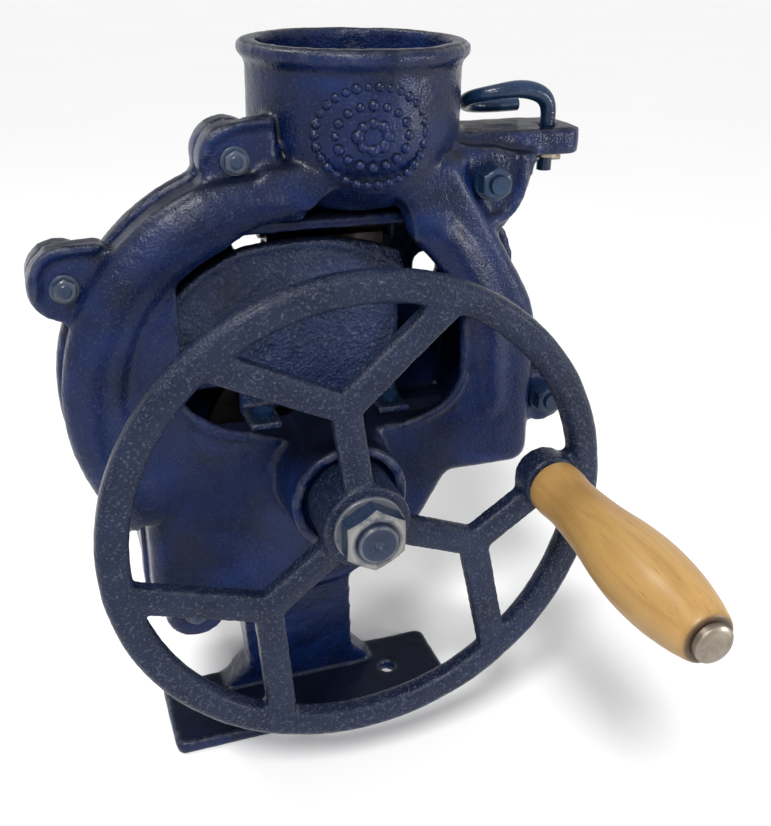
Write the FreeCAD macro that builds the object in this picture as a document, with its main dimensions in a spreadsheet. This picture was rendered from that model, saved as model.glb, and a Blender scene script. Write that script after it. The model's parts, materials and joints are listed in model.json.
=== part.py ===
import FreeCAD, Part

import math
import os
import re

import Sketcher
from FreeCAD import Rotation, Vector

# Driving dimensions in millimetres. Places across (x) and up (z) are measured from the shaft's axis.
# Places front to back (y) are measured from the plane where the two castings meet, with +Y to the rear.
SIZES = {
    "shaft_x": 8.0,
    "shaft_height": 150.0,
    "shaft_d": 18.0,
    "shaft_proud": 1.5,
    "run_gap": 0.05,
    "seat_gap": 0.02,
    "face_gap": 0.3,
    "overlap": 1.0,
    "wheel_reach": 75.0,
    "wheel_d": 230.0,
    "rim_wide": 14.0,
    "rim_thick": 11.0,
    "rim_round": 4.0,
    "hub_d": 40.0,
    "hub_proud": 1.0,
    "spoke_wide": 13.0,
    "spoke_thick": 8.0,
    "fork_r": 57.0,
    "fork_angle": 98.7,
    "branch_spread": 30.0,
    "key_side": 5.0,
    "key_length": 18.0,
    "key_inset": 2.0,
    "wheel_washer_d": 32.0,
    "wheel_washer_thick": 2.0,
    "wheel_nut_flats": 26.0,
    "wheel_nut_thick": 10.0,
    "crank_r": 88.0,
    "crank_angle": 5.0,
    "crank_boss_d": 26.0,
    "crank_boss_proud": 3.0,
    "spindle_d": 10.0,
    "spindle_head_d": 16.0,
    "spindle_head_thick": 4.0,
    "grip_washer_d": 20.0,
    "grip_washer_thick": 1.6,
    "grip_length": 117.0,
    "grip_base_d": 26.0,
    "grip_neck_d": 24.0,
    "grip_belly_d": 34.0,
    "grip_end_d": 22.0,
    "plate_front": 21.0,
    "plate_thick": 7.0,
    "casing_wall": 6.0,
    "shoulder": 7.0,
    "arch_top": 146.0,
    "arch_left": 118.0,
    "arch_round": 100.0,
    "waist_high": 26.0,
    "waist_round": 52.0,
    "hip_drop": 14.0,
    "floor_left": 88.0,
    "floor_drop": 74.0,
    "drum_right": 62.0,
    "drum_hip_x": 44.0,
    "drum_hip_drop": 44.0,
    "drum_foot_x": 10.0,
    "drum_drop": 66.0,
    "drum_round": 60.0,
    "block_right": 106.0,
    "block_drop": 13.0,
    "block_top": 70.0,
    "arch_right": 60.0,
    "window_d": 160.0,
    "window_shift": 10.0,
    "window_high": 47.0,
    "relief_d": 52.0,
    "relief_x": 14.0,
    "relief_high": 111.0,
    "window_left": 67.0,
    "window_right": 66.0,
    "sill_top": 20.0,
    "sill_thick": 8.0,
    "sill_back": 6.0,
    "boss_d": 55.0,
    "boss_front": 52.0,
    "recess_d": 45.0,
    "recess_depth": 8.0,
    "bush_d": 24.0,
    "bush_flange_d": 32.0,
    "bush_flange_thick": 3.0,
    "leg_top": 54.0,
    "leg_left": 48.0,
    "leg_right": 9.0,
    "leg_back": 12.0,
    "leg_shift": 9.0,
    "leg_rake": 29.5,
    "leg_back_rake": 12.0,
    "leg_flare": 15.0,
    "leg_flare_height": 18.0,
    "leg_wall": 7.0,
    "foot_length": 154.0,
    "foot_depth": 52.0,
    "foot_thick": 7.0,
    "foot_corner": 5.0,
    "foot_hole_d": 8.5,
    "foot_hole_pitch": 92.0,
    "hopper_x": 23.0,
    "hopper_y": 17.0,
    "hopper_top": 192.0,
    "hopper_bottom": 119.0,
    "hopper_d": 96.0,
    "hopper_wall": 4.5,
    "bowl_round": 38.0,
    "bead_d": 103.0,
    "bead_high": 7.0,
    "bead_round": 2.5,
    "throat_front": 35.0,
    "ledge_margin": 14.0,
    "ledge_top": 153.0,
    "ledge_thick": 12.0,
    "ledge_front": 8.0,
    "ledge_back": 26.0,
    "ledge_sink": 11.0,
    "ledge_gusset": 30.0,
    "ledge_web_clear": 8.5,
    "bail_stand": 43.0,
    "bail_y": 3.0,
    "bail_d": 7.0,
    "bail_rise": 16.0,
    "bail_reach": 24.0,
    "bail_loop_d": 24.0,
    "bail_drop": 10.0,
    "bail_bend": 8.0,
    "bail_tail": 20.0,
    "bail_tang": 9.0,
    "bail_washer_d": 15.0,
    "bail_washer_thick": 1.5,
    "bail_cotter_d": 2.5,
    "bail_cotter_length": 16.0,
    "lug_d": 30.0,
    "lug_front": 14.0,
    "lug_back": 14.0,
    "spot_d": 22.0,
    "lug_a_x": -38.5,
    "lug_a_z": 148.0,
    "lug_b_x": -111.5,
    "lug_b_z": 100.0,
    "lug_c_x": -68.0,
    "lug_c_z": -72.0,
    "lug_d_x": 78.5,
    "lug_d_z": 132.5,
    "lug_e_x": 115.5,
    "lug_e_z": 21.0,
    "screw_d": 8.0,
    "screw_head_d": 12.5,
    "screw_head_high": 4.0,
    "screw_grip": 11.0,
    "nut_flats": 13.0,
    "nut_thick": 6.5,
    "bolt_head_thick": 5.5,
    "bolt_proud": 2.0,
    "bolt_washer_d": 17.0,
    "bolt_washer_thick": 1.6,
    "rear_depth": 72.0,
    "housing_left": 88.0,
    "housing_right": 100.0,
    "housing_round": 60.0,
    "rim_flange_wide": 18.0,
    "rim_flange_thick": 10.0,
    "rim_flange_lip": 2.0,
    "rear_wall": 6.0,
    "rear_boss_d": 44.0,
    "rear_boss_inside": 10.0,
    "rear_boss_outside": 12.0,
    "port_round": 6.0,
    "left_port_near": 8.0,
    "left_port_far": 24.0,
    "left_port_low": 82.0,
    "left_port_high": 98.0,
    "right_port_near": 76.0,
    "right_port_far": 90.0,
    "right_port_low": 58.0,
    "right_port_high": 74.0,
    "outlet_left": 62.0,
    "outlet_right": 10.0,
    "outlet_front": 16.0,
    "outlet_back": 66.0,
    "hopper_clear": 1.0,
    "collar_d": 32.0,
    "collar_long": 10.0,
    "collar_screw_d": 6.0,
    "tail_proud": 2.0,
    "disc_d": 104.0,
    "disc_front": 20.0,
    "disc_thick": 8.0,
    "disc_hub_d": 36.0,
    "disc_hub_back": 16.0,
    "disc_pin_d": 6.0,
    "tooth_high": 6.0,
    "tooth_d": 8.0,
    "tooth_tip_d": 3.0,
    "tooth_row_in": 25.0,
    "tooth_row_mid": 36.0,
    "tooth_row_out": 47.0,
    "tooth_turn": 15.0,
    "shield_d": 212.0,
    "shield_front": 8.5,
    "shield_thick": 5.0,
    "shield_dish": 3.0,
    "shield_left": 74.0,
    "shield_right": 44.0,
    "shield_slot_right": 36.0,
    "shield_slot_high": 16.0,
    "shield_tab": 18.0,
    "shield_tab_thick": 4.0,
    "shield_tab_wide": 16.0,
    "shield_screw_d": 5.0,
    "shield_screw_head_d": 9.0,
    "shield_screw_head_high": 3.0,
    "shield_screw_grip": 7.0,
    "pin_y": 56.0,
    "pin_z": 100.0,
    "pin_d": 6.0,
    "knuckle_d": 14.0,
    "ear_thick": 6.0,
    "ear_wide": 18.0,
    "ear_side_gap": 0.5,
    "pin_collar_d": 11.0,
    "pin_collar_thick": 3.0,
    "press_wide": 56.0,
    "press_thick": 5.0,
    "press_knee": 30.0,
    "press_drop": 73.0,
    "press_lean": 7.0,
    "leaf_wide": 18.0,
    "leaf_thick": 1.5,
    "leaf_top": 92.0,
    "leaf_root": 76.0,
    "leaf_touch": 56.0,
    "leaf_end": 40.0,
    "leaf_curl": 5.0,
    "leaf_screw_d": 5.0,
    "leaf_screw_head_d": 9.0,
    "leaf_screw_head_high": 3.0,
    "leaf_screw_z": 84.0,
}

# Places that follow from the driving dimensions.
PLACES = {
    "shaft_r": "shaft_d / 2",
    "rim_front": "-wheel_reach",
    "rim_back": "rim_front + rim_thick",
    "hub_front": "rim_front - hub_proud",
    "recess_floor": "recess_depth - boss_front",
    "front_flange": "recess_floor - bush_flange_thick",
    "hub_back": "front_flange - face_gap",
    "nut_back": "hub_front - wheel_washer_thick",
    "nut_front": "nut_back - wheel_nut_thick",
    "shaft_front": "nut_front - shaft_proud",
    "rear_face": "rear_depth + rear_wall",
    "rear_boss_front": "rear_depth - rear_boss_inside",
    "rear_boss_back": "rear_face + rear_boss_outside",
    "rear_flange": "rear_boss_back + bush_flange_thick",
    "collar_front": "rear_flange + face_gap",
    "collar_back": "collar_front + collar_long",
    "shaft_back": "collar_back + tail_proud",
    "disc_back": "disc_front + disc_thick",
    "disc_hub_end": "disc_back + disc_hub_back",
    "crank_boss_front": "rim_front - crank_boss_proud",
    "grip_base": "crank_boss_front - grip_washer_thick - face_gap",
    "grip_end": "grip_base - grip_length",
    "spindle_head_back": "grip_end - face_gap",
    "sill_bottom": "sill_top - sill_thick",
    "ledge_under": "ledge_top - ledge_thick",
    "hopper_side": "hopper_x + hopper_d / 2",
    "bail_x": "hopper_side + bail_stand",
    "ledge_root": "hopper_side - ledge_sink",
    "ledge_end": "bail_x + ledge_margin",
    "ledge_web_end": "bail_x - bail_washer_d / 2 - ledge_web_clear",
    "housing_top": "hopper_bottom - hopper_clear",
}

doc = FreeCAD.newDocument("disc_sheller")
sheet = doc.addObject("Spreadsheet::Sheet", "Sizes")
for row, (alias, value) in enumerate(SIZES.items(), start=1):
    sheet.set("A%d" % row, alias)
    sheet.set("B%d" % row, str(value))
    sheet.setAlias("B%d" % row, alias)
doc.recompute()

ALONG_Y = Rotation(Vector(1, 0, 0), -90)
SUB_PARTS = []


def link(text):
    """Return a size expression with each word tied to its cell."""
    def cell(match):
        word = match.group(0)
        if word in PLACES:
            return "(" + link(PLACES[word]) + ")"
        return "Sizes." + word if word in SIZES else word
    return re.sub(r"[a-z][a-z_]*", cell, text)


def size(text):
    """Return the number that a size expression gives."""
    return float(sheet.evalExpression(link(text)))


def bind(item, path, text):
    """Bind one property of a document object to a size expression."""
    item.setExpression(path, link(text))


def keep(item, label):
    """Name a finished sub-part, so that it is written to its own file."""
    item.Label = label
    SUB_PARTS.append(item)
    return item


def put(item, x="0", y="0", z="0"):
    """Place an object from the shaft's axis and the parting plane."""
    bind(item, "Placement.Base.x", "shaft_x + " + x)
    bind(item, "Placement.Base.y", y)
    bind(item, "Placement.Base.z", "shaft_height + " + z)


def cylinder(label, across, start, end, x="0", z="0"):
    """Make a round bar along Y from start to end."""
    bar = doc.addObject("Part::Cylinder", label)
    bar.Placement.Rotation = ALONG_Y
    bind(bar, "Radius", "(%s) / 2" % across)
    bind(bar, "Height", "(%s) - (%s)" % (end, start))
    put(bar, x, start, z)
    return bar


def upright(label, across, start, end, x="0", y="0"):
    """Make a round bar along Z from start to end."""
    bar = doc.addObject("Part::Cylinder", label)
    bind(bar, "Radius", "(%s) / 2" % across)
    bind(bar, "Height", "(%s) - (%s)" % (end, start))
    put(bar, x, y, start)
    return bar


def hexagon(label, flats, start, end, x="0", z="0"):
    """Make a hexagonal bar along Y from start to end."""
    bar = doc.addObject("Part::Prism", label)
    bar.Polygon = 6
    bar.Placement.Rotation = ALONG_Y
    bind(bar, "Circumradius", "(%s) / sqrt(3)" % flats)
    bind(bar, "Height", "(%s) - (%s)" % (end, start))
    put(bar, x, start, z)
    return bar


def fuse(label, pieces):
    """Join overlapping pieces into one solid."""
    joined = doc.addObject("Part::MultiFuse", label)
    joined.Shapes = pieces
    joined.Refine = True
    return joined


def cut(label, base, tool):
    """Take one piece away from another."""
    left = doc.addObject("Part::Cut", label)
    left.Base = base
    left.Tool = tool
    return left


def group(label, pieces):
    """Collect like pieces that stay separate solids."""
    together = doc.addObject("Part::Compound", label)
    together.Links = pieces
    return together


def turned(label, outline, x="0", z="0"):
    """Turn a closed outline of (radius, y) corners about an axis along Y."""
    body = doc.addObject("PartDesign::Body", label)
    sketch = body.newObject("Sketcher::SketchObject", label + "_profile")
    plane = [item for item in body.Origin.OriginFeatures if item.Role == "XY_Plane"][0]
    sketch.AttachmentSupport = [(plane, "")]
    sketch.MapMode = "FlatFace"
    corners = [Vector(size(radius), size(y), 0) for radius, y in outline]
    count = len(corners)
    for index in range(count):
        sketch.addGeometry(Part.LineSegment(corners[index], corners[(index + 1) % count]), False)
    for index in range(count):
        sketch.addConstraint(Sketcher.Constraint("Coincident", index, 2, (index + 1) % count, 1))
    for index, (radius, y) in enumerate(outline):
        if radius == "0":
            sketch.addConstraint(Sketcher.Constraint("PointOnObject", index, 1, -2))
        else:
            number = sketch.addConstraint(Sketcher.Constraint("DistanceX", index, 1, corners[index].x))
            bind(sketch, "Constraints[%d]" % number, radius)
        number = sketch.addConstraint(Sketcher.Constraint("DistanceY", index, 1, corners[index].y))
        bind(sketch, "Constraints[%d]" % number, y)
    turn = body.newObject("PartDesign::Revolution", label + "_turn")
    turn.Profile = sketch
    turn.ReferenceAxis = (sketch, ["V_Axis"])
    turn.Angle = 360
    put(body, x, "0", z)
    return body


def feature(label, shape):
    """Hold a cast or bent shape, built about the shaft's axis, as a document object."""
    item = doc.addObject("Part::Feature", label)
    item.Shape = shape
    put(item)
    return item


def rounded(corners):
    """Return a face in the XZ plane from (x, z, radius) corners joined by tangent arcs."""
    points = [Vector(x, 0, z) for x, z, radius in corners]
    edges = []
    count = len(points)
    starts = []
    ends = []
    for index, (x, z, radius) in enumerate(corners):
        before = (points[index - 1] - points[index]).normalize()
        after = (points[(index + 1) % count] - points[index]).normalize()
        half = before.getAngle(after) / 2
        reach = radius / math.tan(half)
        middle = (before + after).normalize() * (radius / math.sin(half))
        start = points[index] + before * reach
        end = points[index] + after * reach
        peak = points[index] + middle - middle.normalize() * radius
        starts.append(start)
        ends.append(end)
        edges.append(Part.Arc(start, peak, end).toShape())
        if index:
            edges.insert(-1, Part.makeLine(ends[index - 1], start))
    edges.append(Part.makeLine(ends[-1], starts[0]))
    return Part.Face(Part.Wire(edges))


def along_y(face, start, end):
    """Extrude a face of the XZ plane from start to end."""
    moved = face.copy()
    moved.translate(Vector(0, start, 0))
    return moved.extrude(Vector(0, end - start, 0))


def round_y(across, start, end, x=0.0, z=0.0):
    """Return a round solid along Y."""
    return Part.makeCylinder(across / 2, end - start, Vector(x, start, z), Vector(0, 1, 0))


def block(x0, x1, y0, y1, z0, z1):
    """Return a box between two corners."""
    return Part.makeBox(x1 - x0, y1 - y0, z1 - z0, Vector(x0, y0, z0))


def edges_on(shape, axis, place):
    """Return the edges that lie wholly in one plane across an axis."""
    low, high = axis + "Min", axis + "Max"
    near = 0.001
    return [edge for edge in shape.Edges
            if abs(getattr(edge.BoundBox, low) - place) < near
            and abs(getattr(edge.BoundBox, high) - place) < near]


def drum_corners():
    """Return the corners of the drum at the lower right, which both outlines share."""
    turn = size("drum_round")
    return [(size("drum_foot_x"), -size("drum_drop"), turn),
            (size("drum_hip_x"), -size("drum_hip_drop"), turn),
            (size("drum_right"), -size("block_drop"), size("shoulder") / 2)]


def casing_outline():
    """Return the outline that both halves of the casing share."""
    top, floor = size("arch_top"), -size("floor_drop")
    left, right = -size("arch_left"), size("block_right")
    under = -size("block_drop")
    return rounded([
        (left, top, size("arch_round")),
        (left + size("overlap"), size("waist_high"), size("waist_round")),
        (-size("floor_left"), -size("hip_drop"), size("shoulder") * 2),
        (-size("floor_left"), floor, size("shoulder") * 2),
        *drum_corners(),
        (right, under, size("shoulder + rim_flange_lip")),
        (right, size("block_top"), size("arch_round") / 2),
        (size("arch_right"), top, size("shoulder")),
    ])


def inside(face, wall):
    """Return a face drawn in from its edge by a wall's thickness."""
    return face.makeOffset2D(-wall)


LUGS = ("a", "b", "c", "d", "e")


def lugs(start, end):
    """Return the bolting ears of one casting."""
    across = size("lug_d")
    return [round_y(across, start, end, size("lug_%s_x" % name), size("lug_%s_z" % name)) for name in LUGS]


def bolt_holes(start, end):
    """Return the holes through the bolting ears."""
    across = size("screw_d + 2 * run_gap")
    return [round_y(across, start, end, size("lug_%s_x" % name), size("lug_%s_z" % name)) for name in LUGS]


def spot_faces():
    """Return the flat seats that are cut round the bolt holes in the front face."""
    across, front, seat = size("spot_d"), -size("plate_front + overlap"), -size("lug_front")
    return [round_y(across, front, seat, size("lug_%s_x" % name), size("lug_%s_z" % name)) for name in LUGS]


def front_shell():
    """Return the arched front half of the casing with its window, sill and bearing boss."""
    outline = casing_outline()
    front, back = -size("plate_front"), 0.0
    inner = front + size("plate_thick")
    shell = along_y(outline, front, back)
    shell = shell.makeFillet(size("shoulder"), edges_on(shell, "Y", front))
    shell = shell.cut(along_y(inside(outline, size("casing_wall")), inner, back))
    opening = round_y(size("window_d"), front, inner, -size("window_shift"), size("window_high"))
    sill = size("sill_top")
    opening = opening.common(block(-size("window_left"), size("window_right"), front, inner,
                                   sill, sill + size("window_d")))
    relief = round_y(size("relief_d"), front, inner, size("relief_x"), size("relief_high"))
    shell = shell.cut([opening, relief])
    shelf = block(-size("window_left"), size("window_right"), front + size("overlap"), size("sill_back"),
                  size("sill_bottom"), sill)
    boss = round_y(size("boss_d"), -size("boss_front"), 0.0)
    return shell.fuse([shelf, boss] + lugs(-size("lug_front"), 0.0))


def raked(front, top, foot, x_start, x_end, rake, back, back_rake):
    """Return a leaning slab: its front and back faces lean to the rear from top to foot."""
    corners = [Vector(x_start, front, top), Vector(x_start, front + rake, foot),
               Vector(x_start, back + back_rake, foot), Vector(x_start, back, top)]
    return Part.Face(Part.makePolygon(corners + corners[:1])).extrude(Vector(x_end - x_start, 0, 0))


def leg_and_foot():
    """Return the leaning pedestal, hollow from behind, and the bench foot with its two holes."""
    left, right, shift = -size("leg_left"), size("leg_right"), size("leg_shift")
    front, back = -size("plate_front"), size("leg_back")
    rake, back_rake = size("leg_rake"), size("leg_back_rake")
    ground, top = -size("shaft_height"), -size("leg_top")
    foot_top = ground + size("foot_thick")
    root = foot_top - size("overlap")
    flare, knee = size("leg_flare"), foot_top + size("leg_flare_height")
    profile = [Vector(left, front, top), Vector(left + shift, front, knee),
               Vector(left + shift - flare, front, root), Vector(right + shift + flare, front, root),
               Vector(right + shift, front, knee), Vector(right, front, top)]
    leg = Part.Face(Part.makePolygon(profile + profile[:1])).extrude(Vector(0, back + back_rake - front, 0))
    wide = size("foot_length")
    leg = leg.common(raked(front, top, root, -wide, wide, rake, back, back_rake))
    wall = size("leg_wall")
    ceiling = -size("drum_drop") - wall
    hollow = raked(front + wall, top, root, left + shift + wall, right - wall, rake, back + wall, back_rake)
    leg = leg.cut(hollow.common(block(-wide, wide, front, back + back_rake + wall, foot_top + wall, ceiling)))
    middle, half, deep = -size("shaft_x"), size("foot_length") / 2, size("foot_depth") / 2
    foot = block(middle - half, middle + half, -deep, deep, ground, foot_top)
    foot = foot.makeFillet(size("foot_corner"), [edge for edge in foot.Edges
                                                 if edge.BoundBox.ZLength > size("foot_thick") / 2])
    for side in (-1, 1):
        across = middle + side * size("foot_hole_pitch") / 2
        foot = foot.cut(Part.makeCylinder(size("foot_hole_d") / 2, size("foot_thick"),
                                          Vector(across, 0, ground)))
    return leg.fuse(foot)


def hopper_solid():
    """Return the hopper's outer form: a bowl-bottomed drum with a beaded mouth and a spout at the rear."""
    centre = Vector(size("hopper_x"), size("hopper_y"), size("hopper_bottom"))
    high = size("hopper_top") - size("hopper_bottom")
    drum = Part.makeCylinder(size("hopper_d") / 2, high, centre)
    drum = drum.makeFillet(size("bowl_round"), edges_on(drum, "Z", centre.z))
    bead_foot = centre + Vector(0, 0, high - size("bead_high"))
    bead = Part.makeCylinder(size("bead_d") / 2, size("bead_high"), bead_foot)
    lips = edges_on(bead, "Z", bead_foot.z) + edges_on(bead, "Z", centre.z + high)
    bead = bead.makeFillet(size("bead_round"), lips)
    half = size("hopper_d") / 2
    spout = Part.makeCylinder(half, size("bowl_round"), centre)
    front = size("throat_front - hopper_wall")
    spout = spout.common(block(centre.x - half, centre.x + half, front, centre.y + half,
                               centre.z, centre.z + size("bowl_round")))
    return drum.fuse([bead, spout])


def hopper_inside():
    """Return the space inside the hopper, with the throat that opens behind the disc."""
    wall = size("hopper_wall")
    floor = size("hopper_bottom") + wall
    centre = Vector(size("hopper_x"), size("hopper_y"), floor)
    across = size("hopper_d") / 2 - wall
    space = Part.makeCylinder(across, size("hopper_top") - floor, centre)
    space = space.makeFillet(size("bowl_round") - wall, edges_on(space, "Z", floor))
    depth = size("bowl_round") + wall
    throat = Part.makeCylinder(across, depth, centre - Vector(0, 0, wall))
    back = centre.y + across
    throat = throat.common(block(centre.x - across, centre.x + across, size("throat_front"), back,
                                 floor - wall, floor + depth))
    return space.fuse(throat)


def ledge_solid():
    """Return the flat ledge beside the hopper and the web under it."""
    root, end = size("ledge_root"), size("ledge_end")
    under, top = size("ledge_under"), size("ledge_top")
    shelf = block(root, end, -size("ledge_front"), size("ledge_back"), under, top)
    tall = [edge for edge in shelf.Edges if edge.BoundBox.ZLength > size("ledge_thick") / 2]
    shelf = shelf.makeFillet(size("shoulder"), [edge for edge in tall if edge.BoundBox.XMin > root])
    drop = size("ledge_gusset")
    seat = under + size("overlap")
    corners = [Vector(root, 0, seat), Vector(size("ledge_web_end"), 0, seat),
               Vector(root + drop, 0, under - drop), Vector(root, 0, under - drop)]
    web = Part.Face(Part.makePolygon(corners + corners[:1]))
    return shelf.fuse(along_y(web, -size("ledge_front"), 0.0))


def front_casting():
    """Return the whole front casting."""
    shape = front_shell().fuse([leg_and_foot(), hopper_solid(), ledge_solid()])
    bore = size("bush_d / 2 + seat_gap") * 2
    tools = [hopper_inside(),
             round_y(size("recess_d"), -size("boss_front"), size("recess_floor")),
             round_y(bore, -size("boss_front"), 0.0),
             Part.makeCylinder(size("bail_d / 2 + run_gap"), size("ledge_thick"),
                               Vector(size("bail_x"), size("bail_y"), size("ledge_under")))]
    tools += bolt_holes(-size("plate_front"), 0.0)
    tools += spot_faces()
    tools += shield_screw_holes()
    return shape.cut(tools).removeSplitter()


def shield_screw_places():
    """Return where the two shield screws stand on the sill."""
    half = size("shield_tab_wide") / 2
    depth = size("shield_front") - size("shield_tab") / 2
    return [Vector(-size("shield_slot_right") + half, depth, 0),
            Vector(size("shield_right") - half, depth, 0)]


def shield_screw_holes():
    """Return the holes in the sill for the shield screws."""
    under = Vector(0, 0, size("sill_bottom"))
    return [Part.makeCylinder(size("shield_screw_d") / 2, size("sill_thick"), place + under)
            for place in shield_screw_places()]


def housing_outline():
    """Return the outline of the housing behind the disc, which stays inside the arch."""
    left, right = -size("housing_left"), size("housing_right")
    top, under = size("housing_top"), -size("block_drop")
    corner = size("shoulder")
    return rounded([
        (left, top, size("housing_round")),
        (left, -size("floor_drop"), 2 * corner),
        *drum_corners(),
        (right, under, corner),
        (right, top, size("housing_round") / 2),
    ])


def feed_opening():
    """Return the opening under the hopper's throat in the housing's top."""
    across = size("hopper_d") / 2 - size("hopper_wall")
    low, high = size("housing_top - casing_wall"), size("hopper_bottom")
    centre = Vector(size("hopper_x"), size("hopper_y"), low)
    return Part.makeCylinder(across, high - low, centre).common(
        block(centre.x - across, centre.x + across, size("throat_front"), centre.y + across, low, high))


def rear_ports():
    """Return the two openings high in the back wall, one on each side of the pressure plate."""
    ports = []
    for name, side in (("left", -1), ("right", 1)):
        near, far = side * size(name + "_port_near"), side * size(name + "_port_far")
        low, high, corner = size(name + "_port_low"), size(name + "_port_high"), size("port_round")
        face = rounded([(near, low, corner), (far, low, corner), (far, high, corner), (near, high, corner)])
        ports.append(along_y(face, size("rear_depth"), size("rear_face")))
    return ports


def rear_casting():
    """Return the rear casting: rim flange, housing, bearing boss, hinge ears and outlet."""
    outline, housing = casing_outline(), housing_outline()
    inner, back = size("rear_depth"), size("rear_face")
    wide, lip = size("rim_flange_wide"), size("rim_flange_lip")
    flange = along_y(outline.makeOffset2D(lip), 0.0, size("rim_flange_thick"))
    flange = flange.cut(along_y(inside(outline, wide - lip), 0.0, size("rim_flange_thick")))
    shell = along_y(housing, 0.0, back)
    shell = shell.makeFillet(size("shoulder"), edges_on(shell, "Y", back))
    boss = round_y(size("rear_boss_d"), size("rear_boss_front"), size("rear_boss_back"))
    space = along_y(inside(housing, size("casing_wall")), 0.0, inner)
    shape = shell.fuse([flange] + lugs(0.0, size("lug_back"))).cut(space).fuse([boss] + hinge_ears())
    clear = size("hopper_clear")
    notch = Part.makeCylinder(size("hopper_d") / 2 + clear, size("hopper_top"),
                              Vector(size("hopper_x"), size("hopper_y"), size("hopper_bottom") - clear))
    room = block(size("ledge_root") - clear, size("ledge_end") + clear, 0.0, size("ledge_back") + clear,
                 size("ledge_under") - clear, size("ledge_top"))
    outlet = block(-size("outlet_left"), size("outlet_right"), size("outlet_front"), size("outlet_back"),
                   -size("floor_drop + casing_wall"), -size("floor_drop") + 2 * size("casing_wall"))
    leg_room = block(-size("leg_left") - clear, size("leg_right + leg_shift") + clear,
                     0.0, size("leg_back + leg_back_rake") + clear,
                     -size("shaft_height"), -size("leg_top") + clear)
    bore = size("bush_d / 2 + seat_gap") * 2
    tools = [notch, room, outlet, leg_room, feed_opening(),
             round_y(bore, size("rear_boss_front"), size("rear_boss_back"))]
    tools += bolt_holes(0.0, size("lug_back"))
    tools += rear_ports()
    tools.append(hinge_pin_hole())
    tools.append(round_y(size("leaf_screw_d"), inner, back, size("hopper_x"), size("leaf_screw_z")))
    return shape.cut(tools).removeSplitter()


def hinge_ears():
    """Return the two ears that carry the pressure plate's pin."""
    half = size("press_wide / 2 + ear_side_gap")
    deep, high = size("rear_depth + overlap"), size("ear_wide") / 2
    ears = []
    for side in (-1, 1):
        near = size("hopper_x") + side * half
        far = near + side * size("ear_thick")
        ears.append(block(min(near, far), max(near, far), size("pin_y") - high, deep,
                          size("pin_z") - high, size("pin_z") + high))
    return ears


def hinge_pin_hole():
    """Return the hole through both hinge ears."""
    half = size("press_wide / 2 + ear_side_gap + ear_thick")
    return Part.makeCylinder(size("pin_d / 2 + seat_gap"), 2 * half,
                             Vector(size("hopper_x") - half, size("pin_y"), size("pin_z")), Vector(1, 0, 0))


def across_x(across, half, y, z):
    """Return a round solid along X, centred on the hopper."""
    start = Vector(size("hopper_x") - half, y, z)
    return Part.makeCylinder(across / 2, 2 * half, start, Vector(1, 0, 0))


def pressure_plate():
    """Return the sprung plate: a knuckle on the pin and a blade bent towards the disc."""
    half, thick = size("press_wide") / 2, size("press_thick")
    y, z = size("pin_y"), size("pin_z")
    knee, foot, lean = z - size("press_knee"), z - size("press_drop"), size("press_lean")
    side = [(y - thick / 2, z), (y + thick / 2, z), (y + thick / 2, knee),
            (y + thick / 2 - lean, foot), (y - thick / 2 - lean, foot), (y - thick / 2, knee)]
    corners = [Vector(size("hopper_x") - half, depth, up) for depth, up in side]
    blade = Part.Face(Part.makePolygon(corners + corners[:1])).extrude(Vector(2 * half, 0, 0))
    knuckle = across_x(size("knuckle_d"), half, y, z)
    hole = across_x(size("pin_d / 2 + run_gap") * 2, half, y, z)
    return blade.fuse(knuckle).cut(hole).removeSplitter()


def leaf_spring():
    """Return the bowed leaf between the back wall and the pressure plate."""
    thick, wall = size("leaf_thick"), size("rear_depth")
    knee = size("pin_z - press_knee")
    share = (knee - size("leaf_touch")) / size("press_drop - press_knee")
    touch = size("pin_y + press_thick / 2") - size("press_lean") * share + size("face_gap")
    middle = [(wall - thick / 2, size("leaf_top")), (wall - thick / 2, size("leaf_root")),
              (touch + thick, size("leaf_touch")), (touch + thick + size("leaf_curl"), size("leaf_end"))]
    front = [Vector(0, depth - thick / 2, up) for depth, up in middle]
    rear = [Vector(0, depth + thick / 2, up) for depth, up in reversed(middle)]
    strip = Part.Face(Part.makePolygon(front + rear + front[:1]))
    strip.translate(Vector(size("hopper_x - leaf_wide / 2"), 0, 0))
    leaf = strip.extrude(Vector(size("leaf_wide"), 0, 0))
    hole = round_y(size("leaf_screw_d"), wall - thick, wall, size("hopper_x"), size("leaf_screw_z"))
    return leaf.cut(hole)


def shield_plate():
    """Return the dished plate behind the window and the tabs that stand on the sill."""
    front, thick, dish = size("shield_front"), size("shield_thick"), size("shield_dish")
    radius, low = size("shield_d") / 2, size("sill_top")
    inner = size("boss_d") / 2
    outline = [Vector(inner, front + dish, 0), Vector(radius, front, 0), Vector(radius, front + thick, 0),
               Vector(inner, front + thick + dish, 0)]
    dished = Part.Face(Part.makePolygon(outline + outline[:1])).revolve(Vector(0, 0, 0), Vector(0, 1, 0), 360)
    near, far = front - size("overlap"), front + thick + dish + size("overlap")
    span = block(-size("shield_left"), size("shield_right"), near, far, low, low + radius)
    slot = block(-size("shield_left"), -size("shield_slot_right"), near, far,
                 low, low + size("shield_slot_high"))
    plate = dished.common(span).cut(slot)
    half, tab = size("shield_tab_wide") / 2, size("shield_tab")
    for place in shield_screw_places():
        foot = block(place.x - half, place.x + half, front - tab, front + thick,
                     low, low + size("shield_tab_thick"))
        hole = Part.makeCylinder(size("shield_screw_d") / 2, size("shield_tab_thick"),
                                 Vector(place.x, place.y, low))
        plate = plate.fuse(foot).cut(hole)
    return plate.removeSplitter()


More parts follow.
